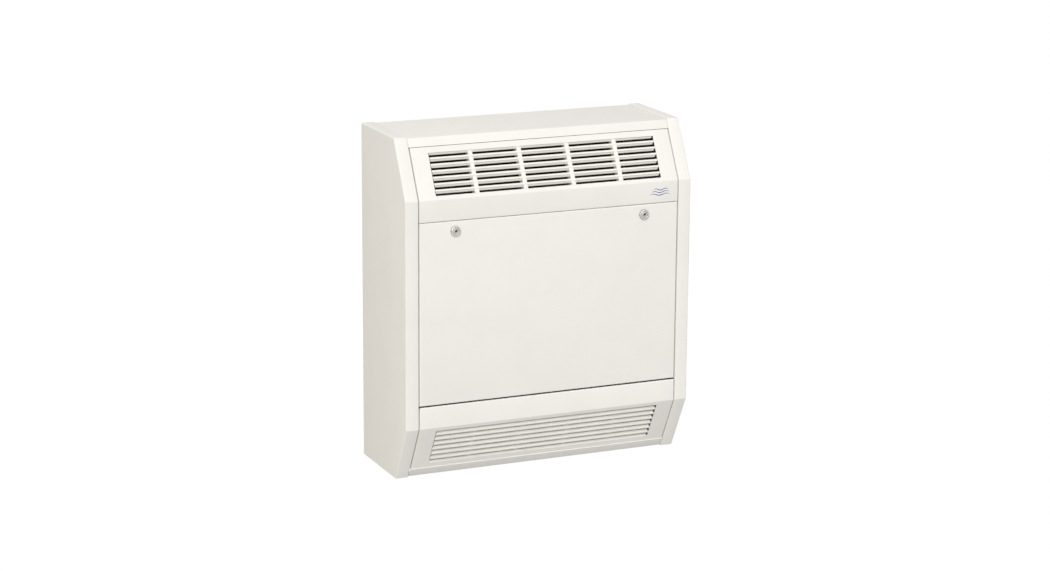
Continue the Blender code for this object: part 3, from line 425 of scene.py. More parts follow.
def turned(shape, profile, centre, axis, steps=48):
    """A profile of (radius, distance) points turned about an axis: a ring if it ends where it starts."""
    rows = []
    across = Z_AXIS if abs(axis.z) < 0.5 else X_AXIS
    other = axis.cross(across)
    arms = circle_arms(across, other, steps)
    ring = profile[0] == profile[-1]
    for radius, along in profile[:-1] if ring else profile:
        base = Vector(centre) + axis * along
        if radius < 1e-7:
            rows.append([shape.verts.new(base)])
        else:
            rows.append(row_of(shape, [base + arm * radius for arm in arms]))
    if ring:
        rows.append(rows[0])
    for first, second in zip(rows, rows[1:]):
        if len(first) == len(second) == steps:
            bridge(shape, first, second)
        elif len(first) != len(second):
            tip, rim = (first[0], second) if len(first) == 1 else (second[0], first)
            for k in range(steps):
                shape.faces.new((tip, rim[k], rim[(k + 1) % steps]))


def rounded(corners, radius, steps=8):
    """A path through corners, each turned by an arc of this radius."""
    path = [Vector(corners[0])]
    for before, corner, after in zip(corners, corners[1:], corners[2:]):
        corner = Vector(corner)
        into = (Vector(before) - corner).normalized()
        out = (Vector(after) - corner).normalized()
        half = into.angle(out) / 2
        centre = corner + (into + out).normalized() * (radius / math.sin(half))
        first = corner + into * (radius / math.tan(half)) - centre
        last = corner + out * (radius / math.tan(half)) - centre
        for k in range(steps + 1):
            path.append(centre + first.slerp(last, k / steps).normalized() * radius)
    path.append(Vector(corners[-1]))
    return path


def tube(shape, path, radius, sides=20):
    """A round tube along a path, closed at both ends."""
    tangents = []
    for k in range(len(path)):
        tangents.append((path[min(k + 1, len(path) - 1)] - path[max(k - 1, 0)]).normalized())
    across = tangents[0].orthogonal().normalized()
    rows = []
    for k, point in enumerate(path):
        if k:
            across.rotate(tangents[k - 1].rotation_difference(tangents[k]))
        other = tangents[k].cross(across)
        rows.append(row_of(shape, [point + arm * radius for arm in circle_arms(across, other, sides)]))
    bridge_rows(shape, rows)
    close_ends(shape, rows)


def middle_of(node):
    low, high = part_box(node)
    return (low + high) / 2


def round_along_x(node):
    """The centre, radius and half length of a node that is round about X."""
    low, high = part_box(node)
    return (low + high) / 2, (high.z - low.z) / 2, (high.x - low.x) / 2


def rings_of(shape, loop, section):
    """A row of vertices for each (y, inset) of a section, along a loop of (x, z)."""
    return [row_of(shape, [(x, y, z) for x, z in inset_loop(loop, inset)]) for y, inset in section]


# Casing
def bend_radii(radii, depth):
    """The bends' radii on a surface this deep under the seen face."""
    return [max(radius - depth, LEAST_BEND) if radius else 0 for radius in radii]


def rail_corners(node):
    """The (y, z) corners of a strip with a foot turned in at the floor and a ledge turned in at its top."""
    points = points_of(node)
    floor = min(p.z for p in points)
    front = min(p.y for p in points)
    bend = min(p.y for p in points if near(p.z, floor))
    top = max(p.z for p in points)
    foot = max(p.y for p in points if near(p.z, floor))
    nose = max(p.z for p in points if near(p.y, front))
    ledge = max((p.y, p.z) for p in points if near(p.z, top))
    return [(foot, floor), (bend, floor), (front, nose), ledge]


def folded_panel(name, corners, radii, breaks, hole=None, side_return=0.0):
    """A sheet whose seen face follows the (y, z) corners, swept across X, in place of the CAD node of that
    name. hole says which faces are left out. A side return is a strip turned in at each end, square to the
    face."""
    columns = [(x, 0.0) for x in breaks]
    if side_return:
        low, high = breaks[0], breaks[-1]
        bend = [(EDGE_BEND * (1 - math.cos(a)), EDGE_BEND * (1 - math.sin(a))) for a in QUARTER_TURN]
        left = [(low, side_return), *[(low + across, depth) for across, depth in bend]]
        right = [(high + low - x, depth) for x, depth in reversed(left)]
        columns = [*left, *[(x, 0.0) for x in breaks[1:-1]], *right]
    lines = {depth: fillet(offset_line(corners, depth), bend_radii(radii, depth)) for _, depth in columns}
    seen = lines[0.0]
    shape = bmesh.new()
    rows = [row_of(shape, [(x, *lines[depth][k]) for x, depth in columns]) for k in range(len(seen))]
    for a, b, first, second in zip(seen, seen[1:], rows, rows[1:]):
        middle = ((a[0] + b[0]) / 2, (a[1] + b[1]) / 2)
        skip = [k for k in range(len(columns) - 1)
                if hole and hole((columns[k][0] + columns[k + 1][0]) / 2, *middle)]
        bridge(shape, first, second, closed=False, skip=skip)
    return place_piece(f"{name}_skin", shape, "casing_coat", "casing", [name], thickness=SHEET)


def side_panel(prefix, side):
    """A flat plate with a soft bend all round it, a lip towards the middle, and a flange along the lip."""
    corners = [
        (BACK_Y, 0), (BACK_Y, HEIGHT), (SLOPE_TOP_Y, HEIGHT),
        (FRONT_Y, UPPER_BEND_Z), (FRONT_Y, LOWER_BEND_Z), (SLOPE_TOP_Y, 0),
    ]
    radii = [0, 0, *[FRONT_BEND] * 3, 0]
    flange_bend = [
        (LIP_X + EDGE_BEND * (1 - math.cos(a)), EDGE_BEND * (1 - math.sin(a))) for a in QUARTER_TURN
    ]
    plate_bend = [(HALF - BEND + BEND * math.sin(a), BEND - BEND * math.cos(a)) for a in QUARTER_TURN]
    shape = bmesh.new()
    rows = []
    for x, depth in [(LIP_X, LIP_FLANGE), *flange_bend, *plate_bend]:
        loop = fillet(inset_loop(corners, depth), bend_radii(radii, depth), closed=True)
        rows.append(row_of(shape, [(side * x, y, z) for y, z in loop]))
    bridge_rows(shape, rows)
    shape.faces.new(rows[-1])
    name = f"{prefix}_side_panel"
    place_piece(f"{name}_skin", shape, "casing_coat", "casing", [name], thickness=SHEET)


def front_panel(name, slope, corners, radii):
    """A front panel that is folded at the slope's bend, with the slope's cut-out for a grille."""
    half, start, end = opening(slope, name, PANEL_X)
    corners = [on_slope(slope, c) if isinstance(c, float) else c for c in corners(start, end)]
    heights = sorted((on_slope(slope, start)[1], on_slope(slope, end)[1]))

    def in_opening(x, y, z):
        return abs(x) < half and heights[0] < z < heights[1]

    folded_panel(name, corners, radii, [-PANEL_X, -half, half, PANEL_X], in_opening, SIDE_RETURN)


def casing():
    for prefix, side in (("left", -1), ("right", 1)):
        side_panel(prefix, side)
    rise = (HEIGHT - UPPER_BEND_Z) / math.hypot(HEIGHT - UPPER_BEND_Z, SLOPE_TOP_Y - FRONT_Y)
    top_edge = on_slope(UPPER_SLOPE, (HEIGHT - top_high.z) / rise)
    strip_end = on_slope(UPPER_SLOPE, down_slope(UPPER_SLOPE, "top_panel")[1])
    folded_panel("top_panel", [strip_end, top_edge, (top_high.y, top_high.z)], [0, FRONT_BEND, 0],
                 [-TOP_PANEL_X, TOP_PANEL_X], side_return=SIDE_RETURN)
    rail_low, rail_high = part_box("bottom_rail")
    rail_ends = [rail_low.x, rail_high.x]
    folded_panel("bottom_rail", rail_corners("bottom_rail"), [0, BEND, EDGE_BEND, 0], rail_ends)

    upper_start = down_slope(UPPER_SLOPE, "upper_front_panel")[0]
    front_panel("upper_front_panel", UPPER_SLOPE, lambda start, end: [
        (FRONT_Y + RETURN, upper_low.z), (FRONT_Y, upper_low.z), (FRONT_Y, UPPER_BEND_Z),
        end, start, upper_start,
    ], [0, BEND, FRONT_BEND, 0, 0, 0])
    lower_end = down_slope(LOWER_SLOPE, "lower_front_panel")[1]
    front_panel("lower_front_panel", LOWER_SLOPE, lambda start, end: [
        lower_end, end, start,
        (FRONT_Y, LOWER_BEND_Z), (FRONT_Y, lower_high.z), (LOWER_RETURN_Y, lower_high.z),
    ], [0, 0, 0, FRONT_BEND, BEND, 0])


def door():
    """The door pan: a flat front, and a soft bend to a shallow return that is slotted for the hinge ears."""
    low, high = door_low, door_high
    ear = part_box("right_hinge_bracket")[0].x
    ear_in, ear_out = ear - EAR_ROOM, ear + EAR_WIDTH + EAR_ROOM
    below = [low.x, -ear_out, -ear_in, ear_in, ear_out, high.x]
    loop = [*[(x, low.z) for x in below], (high.x, high.z), (low.x, high.z)]
    rings = [(FRONT_Y + RETURN, 0.0)]
    rings += [(FRONT_Y + BEND - BEND * math.sin(a), BEND - BEND * math.cos(a)) for a in QUARTER_TURN]
    shape = bmesh.new()
    rows = rings_of(shape, loop, rings)
    bridge(shape, rows[0], rows[1], skip=(1, 3))
    bridge_rows(shape, rows[1:])
    shape.faces.new(rows[-1])
    place_piece("access_door_skin", shape, "casing_coat", "door", ["access_door"], thickness=SHEET)


# The printed mark
WAVES = 3
WAVE_LENGTH = 0.046
WAVE_PITCH = 0.0052
WAVE_SWING = 0.0016
WAVE_THICK = 0.0016
WAVE_SHIFT = 0.004
WAVE_SHORTER = 0.006
WAVE_STEPS = 28
WAVE_TURNS = 1.55
LEAST_TAPER = 0.02
MARK_FROM_EDGE = 0.0635
MARK_RISE = 0.0175


def air_mark():
    """A small printed sign on the upper panel: three rising air waves."""
    shape = bmesh.new()
    for wave in range(WAVES):
        rows = []
        start = PANEL_X - MARK_FROM_EDGE + wave * WAVE_SHIFT
        middle = upper_low.z + MARK_RISE + wave * WAVE_PITCH
        for k in range(WAVE_STEPS + 1):
            share = k / WAVE_STEPS
            x = start + share * (WAVE_LENGTH - wave * WAVE_SHORTER)
            z = middle + WAVE_SWING * math.sin(share * 2 * WAVE_TURNS * math.pi)
            half = WAVE_THICK / 2 * math.sqrt(max(math.sin(math.pi * share), LEAST_TAPER))
            rows.append(row_of(shape, [
                (x, FRONT_Y, z - half), (x, FRONT_Y - INK, z - half),
                (x, FRONT_Y - INK, z + half), (x, FRONT_Y, z + half),
            ]))
        bridge_rows(shape, rows)
        close_ends(shape, rows)
    place_piece("air_mark", shape, MARK_INK, "casing", bevel=0.0)


# Grilles
NOSE_ROUND = 0.0006
WEB_ROUND = 0.0004
END_LEAN = 0.5


def bar_loops(node, slope):
    """The outlines of a grille's bars in the slope's (down, inward) plane, from the CAD node's end face."""
    inverse = slope.inverted()
    half = max(p.x for p in points_on(slope, node))
    mesh = NODES[node].data
    ends = []
    for face in mesh.polygons:
        corners = [inverse @ mesh.vertices[k].co for k in face.vertices]
        if all(near(p.x, half) for p in corners):
            ends.append([(round(p.y, 6), round(p.z, 6)) for p in corners])
    return half, joined_outlines(ends)


def joined_outlines(faces):
    """The closed outlines of touching faces: the edges that only one face has, put end to end."""
    edges = {}
    for corners in faces:
        for first, second in zip(corners, corners[1:] + corners[:1]):
            if (second, first) in edges:
                del edges[second, first]
            else:
                edges[first, second] = True
    follow = dict(edges)
    outlines = []
    while follow:
        start, point = next(iter(follow))
        del follow[start, point]
        outline = [start]
        while point != start:
            outline.append(point)
            end = next(second for first, second in follow if first == point)
            del follow[point, end]
            point = end
        outlines.append(outline)
    return sorted(outlines)


def grille(node, slope):
    half, loops = bar_loops(node, slope)
    shape = bmesh.new()
    deepest = max(depth for loop in loops for _, depth in loop)
    for loop in loops:
        radii = [NOSE_ROUND if near(depth, 0) else WEB_ROUND * near(depth, deepest) for _, depth in loop]
        outline = fillet(loop, radii, steps=3, closed=True)
        ends = [row_of(shape, [(side * (half - END_LEAN * depth), down, depth) for down, depth in outline])
                for side in (-1, 1)]
        bridge_rows(shape, ends)
        close_ends(shape, ends)
    place_piece(f"{node}_bars", shape, "grille_coat", "casing", [node], bevel=0.0, matrix=slope)
    ribs_of_grille(node, slope)


def ribs_of_grille(node, slope):
    """The ribs across the bars, with a tongue further forward where the CAD node's ribs have one."""
    local = points_on(slope, node)
    back = max(p.z for p in local)
    low, high = (pick(p.y for p in local if near(p.z, back)) for pick in (min, max))
    edges = sorted({round(p.x, 5) for p in local if near(p.z, back)})
    step = min(p.z for p in local if near(p.y, low))
    fronts = [p for p in local if near(p.x, edges[0]) and 1e-4 < p.z < step - 1e-5]
    outline = [(high, step), (high, back), (low, back), (low, step)]
    if fronts:
        front = min(p.z for p in fronts)
        first, last = (pick(p.y for p in fronts if near(p.z, front)) for pick in (min, max))
        outline += [(first, step), (first, front), (last, front), (last, step)]
    ribs = bmesh.new()
    for left, right in zip(edges[::2], edges[1::2]):
        swept_x(ribs, outline, left, right)
    place_piece(f"{node}_ribs", ribs, "grille_coat", "casing", [node], matrix=slope)


# Locks
KEY_FACE_SINK = 0.0005
KEY_FACE_ROUND = 0.0004
KEY_TURN = math.radians(55)
KEYHOLE_SHADE_SLOT = ((-0.0011, -0.0034), (0.0011, 0.0034))
KEYHOLE_SHADE_NOTCH = ((-0.0021, -0.0008), (0.0021, 0.0018))
KEYHOLE_SHADE_SINK = 0.001
# The black ring under the bezel's rim is painted shade: it darkens the bezel's side where shade falls.
SHADE_RING_DEPTH = 0.0021
SHADE_RING_WIDTH = 0.0011
BARREL_SHARE = 0.8
FIT = 0.0003


def lock(prefix):
    """A bezel on a black ring, its barrel, and the plug with its face just under the bezel's. The black ring
    is painted shade on the bezel's side, and a dark block on the plug's face is the keyhole's painted shade.
    """
    low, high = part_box(f"{prefix}_lock_housing")
    centre = Vector(((low.x + high.x) / 2, FRONT_Y, (low.z + high.z) / 2))
    radius = (high.x - low.x) / 2
    proud = FRONT_Y - low.y
    plug_low, plug_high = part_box(f"{prefix}_lock_plug")
    plug = (plug_high.x - plug_low.x) / 2
    barrel = radius * BARREL_SHARE
    face = proud - KEY_FACE_SINK
    shape = bmesh.new()
    profile = [
        (plug + FIT, high.y - FRONT_Y), (barrel, high.y - FRONT_Y), (barrel, -FIT), (radius - 0.0012, -FIT),
        (radius - 0.0012, -SHADE_RING_DEPTH), (radius, -SHADE_RING_DEPTH - 0.0001), (radius, -proud + 0.0008),
        (radius - 0.0003, -proud + 0.0003), (radius - 0.0009, -proud), (plug + 0.0007, -proud),
        (plug + FIT, -proud + 0.0003), (plug + FIT, high.y - FRONT_Y),
    ]
    turned(shape, profile, centre, Y_AXIS)
    place_piece(f"{prefix}_lock_bezel", shape, "chrome", "door", [f"{prefix}_lock_housing"],
                bevel=0.0002, smooth=25)

    # Painted shade: a black ring at the bezel's foot stands in for the shade on the bezel's side.
    shape = bmesh.new()
    inner, outside = radius - SHADE_RING_WIDTH, -0.0002
    profile = [(inner, outside), (radius, outside), (radius, -SHADE_RING_DEPTH), (inner, -SHADE_RING_DEPTH), (inner, outside)]
    turned(shape, profile, centre, Y_AXIS)
    place_piece(f"{prefix}_lock_shade_ring", shape, "black_plastic", "door", bevel=0.0)

    shape = bmesh.new()
    profile = [
        (0, plug_high.y - FRONT_Y), (plug, plug_high.y - FRONT_Y), (plug, KEY_FACE_ROUND - face),
        (plug - KEY_FACE_ROUND, -face), (0, -face),
    ]
    turned(shape, profile, centre, Y_AXIS)
    place_piece(f"{prefix}_lock_plug_face", shape, "chrome", f"{prefix}_lock", [f"{prefix}_lock_plug"],
                bevel=0.0, smooth=25)

    # Painted shade: a thin dark block on the plug's face stands in for the shade inside the keyhole, which
    # is not cut.
    shape = bmesh.new()
    turn = Matrix.Translation(centre) @ Matrix.Rotation(KEY_TURN, 4, "Y")
    for (left, bottom), (right, top) in (KEYHOLE_SHADE_SLOT, KEYHOLE_SHADE_NOTCH):
        block(shape, (left, -face - INK, bottom), (right, -face + KEYHOLE_SHADE_SINK, top))
    place_piece(f"{prefix}_keyhole_shade", shape, "black_plastic", f"{prefix}_lock", bevel=0.0, matrix=turn)


# Fans
FAN_BLADES = 40
BLADE_LEAN = math.radians(7)
BLADE_HOOK = math.radians(16)
BLADE_SHEET = 0.0006
RING_WIDTH = 0.0045
MOUTH_SHARE = 0.79
SCROLL_FLANGE = 0.008
SCROLL_SHEET = 0.0012
SCROLL_STEPS = 4
WHEEL_ROUND = 64
SCROLL_ROUND = 56
BLADE_STEPS = 5
MOUTH_ROLL = 0.0045


def mouth_of(prefix):
    """The radius of a fan's inlet, which is also that of its wheel's open middle."""
    return round_along_x(f"{prefix}_impeller")[1] * MOUTH_SHARE


def impeller(prefix):
    """A squirrel-cage wheel: forward-curved blades between two end rings, on a dished disc with a hub."""
    node = f"{prefix}_impeller"
    centre, radius, half = round_along_x(node)
    inner = mouth_of(prefix)
    shape = bmesh.new()
    for blade in range(FAN_BLADES):
        start = 2 * math.pi * blade / FAN_BLADES
        rows = []
        for k in range(BLADE_STEPS + 1):
            share = k / BLADE_STEPS
            reach = inner + (radius - inner - 0.0006) * share
            angle = start + BLADE_LEAN * share + (BLADE_HOOK - BLADE_LEAN) * share ** 3
            y, z = centre.y + reach * math.cos(angle), centre.z + reach * math.sin(angle)
            rows.append(row_of(shape, [(centre.x - half + 0.001, y, z), (centre.x + half - 0.001, y, z)]))
        bridge_rows(shape, rows, closed=False)
    place_piece(f"{node}_blades", shape, "black_plastic", "fan_rotor", [node],
                thickness=BLADE_SHEET, bevel=0.0)
    shape = bmesh.new()
    for end in (-1, 1):
        rim = [
            (inner, end * half), (radius, end * half), (radius, end * (half - RING_WIDTH)),
            (radius - 0.0014, end * (half - RING_WIDTH)), (radius - 0.0014, end * (half - 0.0016)),
            (inner, end * (half - 0.0016)), (inner, end * half),
        ]
        turned(shape, rim, centre, X_AXIS, WHEEL_ROUND)
    bore, hub, half_hub = 0.0045, 0.011, 0.015
    disc = [
        (bore, -half_hub), (hub, -half_hub), (hub, -0.004), (hub + 0.010, -0.0015),
        (radius - 0.002, -0.0012), (radius - 0.002, 0.0012),
        (hub + 0.010, 0.0010), (hub, 0.004), (hub, half_hub), (bore, half_hub), (bore, -half_hub),
    ]
    turned(shape, disc, centre, X_AXIS, WHEEL_ROUND)
    place_piece(f"{node}_rings", shape, "black_plastic", "fan_rotor", [node], bevel=0.0)


def scroll_path(node, cheek_x, centre, mouth):
    """The scroll's outline as (angle round the mouth, radius, (y, z)), once round from the cut-off. The
    radius is None off the spiral, where the outline goes up the back wall and across the outlet."""
    low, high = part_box(node)
    front = min(p.y for p in points_of(node) if near(p.x, low.x)) + SCROLL_FLANGE
    back = high.y - SCROLL_FLANGE
    spiral = {}
    for p in points_of(node):
        arm = Vector((p.y - centre.y, p.z - centre.z))
        if near(p.x, cheek_x, 1e-4) and arm.length > mouth + 0.004 and p.z < high.z - 0.004:
            angle = math.atan2(arm.y, arm.x) % (2 * math.pi)
            spiral[round(angle if angle > 0.1 else angle + 2 * math.pi, 3)] = (arm.length, (p.y, p.z))
    path = [(angle, *spiral[angle]) for angle in sorted(spiral)]
    corner = math.atan2(high.z - centre.z, back - centre.y)
    path.append((2 * math.pi + corner, None, (back, high.z)))
    path.append((2 * math.pi + path[0][0] - 0.01, None, (front, high.z)))
    return path


def scroll_loops(path, centre, mouth):
    """The outline and the mouth's circle as loops of (y, z) that go round together."""
    outer, inner = [], []
    for first, second in zip(path, [*path[1:], path[0]]):
        turn = second[0] - first[0] if second is not path[0] else 0.01
        for k in range(SCROLL_STEPS):
            share = k / SCROLL_STEPS
            angle = first[0] + turn * share
            arm = Vector((math.cos(angle), math.sin(angle)))
            on_line = Vector(first[2]).lerp(Vector(second[2]), share)
            if first[1] and second[1]:
                on_line = centre + arm * (first[1] + (second[1] - first[1]) * share)
            outer.append(tuple(on_line))
            inner.append(tuple(centre + arm * mouth))
    return outer, inner


def fan_scroll(prefix):
    """A rolled wrap that opens out round the wheel, its two cheeks, and a flange under the deck."""
    node = f"{prefix}_fan_scroll"
    low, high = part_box(node)
    centre, mouth = middle_of(f"{prefix}_impeller"), mouth_of(prefix)
    left, right = low.x + SCROLL_FLANGE, high.x - SCROLL_FLANGE
    path = scroll_path(node, left, centre, mouth)
    outer, inner = scroll_loops(path, centre.yz, mouth)
    outlet = range((len(path) - 2) * SCROLL_STEPS, (len(path) - 1) * SCROLL_STEPS)
    shape = bmesh.new()
    rows = [row_of(shape, [(x, y, z) for y, z in loop])
            for x, loop in ((left, inner), (left, outer), (right, outer), (right, inner))]
    bridge(shape, rows[0], rows[1])
    bridge(shape, rows[1], rows[2], skip=outlet)
    bridge(shape, rows[2], rows[3])
    place_piece(f"{node}_wrap", shape, "galvanised", "casing", [node], thickness=SCROLL_SHEET, bevel=0.0)

    (_, _, (back, _)), (_, _, (front, _)) = path[-2:]
    below, above = high.z - SCROLL_SHEET, high.z
    shape = bmesh.new()
    rows = [
        row_of(shape, [
            (left - grow, front - grow, z), (right + grow, front - grow, z),
            (right + grow, back + grow, z), (left - grow, back + grow, z),
        ])
        for z, grow in ((below, SCROLL_FLANGE), (above, SCROLL_FLANGE), (above, 0.0), (below, 0.0))
    ]
    bridge_rows(shape, [*rows, rows[0]])
    place_piece(f"{node}_flange", shape, "galvanised", "casing", bevel=0.0)


def bellmouth(prefix):
    """The rolled inlet rings on both cheeks of a fan's scroll."""
    low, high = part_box(f"{prefix}_fan_scroll")
    centre, mouth = middle_of(f"{prefix}_impeller"), mouth_of(prefix)
    brim, under = mouth + 0.007, -0.0008
    shape = bmesh.new()
    for side, x in ((-1, low.x + SCROLL_FLANGE), (1, high.x - SCROLL_FLANGE)):
        turns = [math.pi * k / 8 for k in range(9)]
        roll = [(mouth + MOUTH_ROLL * (1 - math.cos(a)), side * MOUTH_ROLL * math.sin(a)) for a in turns]
        profile = [*roll, (brim, 0.0), (brim, side * under), (mouth, side * under), roll[0]]
        turned(shape, profile, (x, centre.y, centre.z), X_AXIS, SCROLL_ROUND)
    place_piece(f"{prefix}_scroll_mouths", shape, "galvanised", "casing", bevel=0.0, smooth=50)


MOTOR_SLOTS = 12
SLOT_RADII = (0.020, 0.031)
SLOT_HALF_WIDTH = 0.0018
SLOT_HALF_DEPTH = 0.0004
STATOR_HALF = 0.016
STATOR_SINK = 0.0008
MOTOR_BORE = 0.0045
BELL_INSET = 0.010


def fan_motor():
    """Two enamelled end bells on a bare steel stator. The cooling slots are not cut: thin dark blocks on the
    bells' faces paint the shade inside them.
    """
    centre, radius, half = round_along_x("fan_motor")
    face, bore = half - BELL_INSET, MOTOR_BORE
    for end, name in ((-1, "left"), (1, "right")):
        shape = bmesh.new()
        profile = [
            (bore, half), (0.014, half), (0.016, half - 0.0015), (0.016, face + 0.0015), (0.019, face),
            (radius * 0.74, face), (radius * 0.90, face - 0.0025), (radius * 0.97, face - 0.0065),
            (radius, face - 0.012), (radius, STATOR_HALF), (bore, STATOR_HALF), (bore, half),
        ]
        turned(shape, [(r, end * x) for r, x in profile], centre, X_AXIS, SCROLL_ROUND)
        place_piece(f"motor_{name}_bell", shape, "motor_paint", "casing", ["fan_motor"], bevel=0.0)
        # Painted shade: dark blocks on each bell's face stand in for the shade inside its cooling slots.
        shape = bmesh.new()
        for k in range(MOTOR_SLOTS):
            turn = Matrix.Translation(centre) @ Matrix.Rotation(2 * math.pi * k / MOTOR_SLOTS, 4, "X")
            block(shape, (end * face - SLOT_HALF_DEPTH, -SLOT_HALF_WIDTH, SLOT_RADII[0]),
                  (end * face + SLOT_HALF_DEPTH, SLOT_HALF_WIDTH, SLOT_RADII[1]), matrix=turn)
        place_piece(f"motor_{name}_slots", shape, "lead_sheath", "casing", bevel=0.0)
    shape = bmesh.new()
    outside = radius - STATOR_SINK
    corners = ((bore, -1), (outside, -1), (outside, 1), (bore, 1), (bore, -1))
    ring = [(r, end * STATOR_HALF) for r, end in corners]
    turned(shape, ring, centre, X_AXIS, SCROLL_ROUND)
    place_piece("motor_stator", shape, "galvanised", "casing", ["fan_motor"], bevel=0.0)


# Water side
FIN_PITCH = 0.0028
FIN_SHEET = 0.00025
FIN_WAVE = 0.00045
FIN_STEP = 0.0065
TUBE_PASSES = 4
VALVE_GAP = 0.0003
VALVE_CENTRE_X = 0.015
LEVER_PLATE = 0.0022
LEVER_CRANK = 0.0015
LEVER_SHARE = 0.62
GRIP_RADIUS = 0.0028


def coil():
    """About 150 thin rippled fins on four tube passes."""
    low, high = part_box("coil_fins")
    count = round((high.x - low.x) / FIN_PITCH)
    steps = round((high.y - low.y) / FIN_STEP)
    shape = bmesh.new()
    for k in range(count + 1):
        x = low.x + FIN_SHEET + (high.x - low.x - 2 * FIN_SHEET) * k / count
        line = [(x + FIN_WAVE * (-1) ** j * (0 < k < count), low.y + (high.y - low.y) * j / steps)
                for j in range(steps + 1)]
        rows = [row_of(shape, [(a, b, z) for a, b in line]) for z in (low.z, high.z)]
        bridge(shape, *rows, closed=False)
    place_piece("coil_fin_pack", shape, "fins", "casing", ["coil_fins"],
                thickness=FIN_SHEET, bevel=0.0, smooth=15)
    tube_run((low.z + high.z) / 2)


def tube_run(tube_z):
    """The coil's tube, level at this height, with its two legs down to the valves and a collar on each."""
    tube_low, tube_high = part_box("coil_tubes")
    radius = tube_high.z - tube_z
    turn = tube_high.x - radius
    flow, back = middle_of("flow_valve_body"), middle_of("return_valve_body")
    valve_x = tube_low.x + radius
    pitch = (back.y - flow.y) / (TUBE_PASSES - 1)
    valve_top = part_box("flow_valve_body")[1].z + VALVE_GAP
    corners = [(valve_x, flow.y, valve_top), (valve_x, flow.y, tube_z)]
    for k in range(TUBE_PASSES):
        side = 1 if k % 2 == 0 else -1
        y = flow.y + k * pitch
        if k:
            corners.append((-side * turn, y, tube_z))
        if k < TUBE_PASSES - 1:
            corners.append((side * turn, y, tube_z))
    corners += [(valve_x, back.y, tube_z), (valve_x, back.y, valve_top)]
    shape = bmesh.new()
    tube(shape, rounded(corners, pitch / 2 - 0.0002, 10), radius, 24)
    collar = radius + 0.0012
    for y in (flow.y, flow.y + (TUBE_PASSES - 1) * pitch):
        turned(shape, [(radius, 0.0), (collar, 0.001), (collar, 0.011), (radius, 0.012)],
               (valve_x, y, valve_top + 0.0002), Z_AXIS, 24)
    place_piece("coil_tube_run", shape, "copper", "casing", ["coil_tubes"], bevel=0.0, smooth=40)


def valve(prefix, slot):
    """A ball valve: a turned brass body with two hexagon ends, and a cranked lever with a dipped grip."""
    low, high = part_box(f"{prefix}_valve_body")
    centre = Vector((low.x + VALVE_CENTRE_X, (low.y + high.y) / 2, (low.z + high.z) / 2))
    half = (high.z - low.z) / 2
    stem = high.x - centre.x
    body = [
        (0.0075, -half), (0.0122, -half), (0.0125, -half + 0.002), (0.0125, -0.013), (0.0145, -0.008),
        (0.0145, 0.008), (0.0125, 0.013), (0.0125, half - 0.002), (0.0122, half), (0.0, half),
    ]
    nut = [(0.0, 0.0), (0.0140, 0.0), (0.0150, 0.001), (0.0150, 0.011), (0.0140, 0.012), (0.0, 0.012)]
    gland = [(0.0, 0.0), (0.0062, 0.0), (0.0062, stem - 0.001), (0.0052, stem), (0.0, stem)]
    shape = bmesh.new()
    turned(shape, body, centre, Z_AXIS, 40)
    for at in (-half + 0.002, half - 0.014):
        turned(shape, [(r, at + z) for r, z in nut], centre, Z_AXIS, 6)
    turned(shape, gland, centre, X_AXIS, 24)
    place_piece(f"{prefix}_valve_turned_body", shape, "brass", "casing", [f"{prefix}_valve_body"],
                bevel=0.0003)

    node = f"{prefix}_valve_lever"
    low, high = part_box(node)
    place = (low.x, centre.y, centre.z)
    hub, reach, plate = high.z - centre.z, high.x - low.x, LEVER_PLATE
    shape = bmesh.new()
    turned(shape, [(0.0, 0.0), (hub, 0.0), (hub, plate), (0.0, plate)], place, X_AXIS, 32)
    turned(shape, [(0.0, plate), (0.0045, plate), (0.0045, reach - 0.0005), (0.0, reach)], place, X_AXIS, 6)
    place_piece(f"{node}_hub", shape, "galvanised", f"{prefix}_lever", [node], bevel=0.0002)

    shape = bmesh.new()
    width = (high.y - low.y) / 2 * LEVER_SHARE
    near_x, far_x = low.x + plate / 2, low.x + plate / 2 + LEVER_CRANK
    line = [(near_x, centre.z - hub * 0.6), (near_x, centre.z - hub - 0.003),
            (far_x, centre.z - hub - 0.007), (far_x, low.z + 0.001)]
    tube(shape, [Vector((x, centre.y, z)) for x, z in line], GRIP_RADIUS, 16)
    squash = Matrix.Translation((0, centre.y, 0)) @ Matrix.Diagonal((1, width / GRIP_RADIUS, 1, 1))
    squash = squash @ Matrix.Translation((0, -centre.y, 0))
    place_piece(f"{node}_grip", shape, slot, f"{prefix}_lever", [node], bevel=0.0006, matrix=squash)


# Filter
FILTER_SHEET = 0.0008
PLEAT = 0.0095
WIRE = 0.0008
FELT = 0.0009
PLEAT_STEPS = 6
CROSS_WIRES = 12


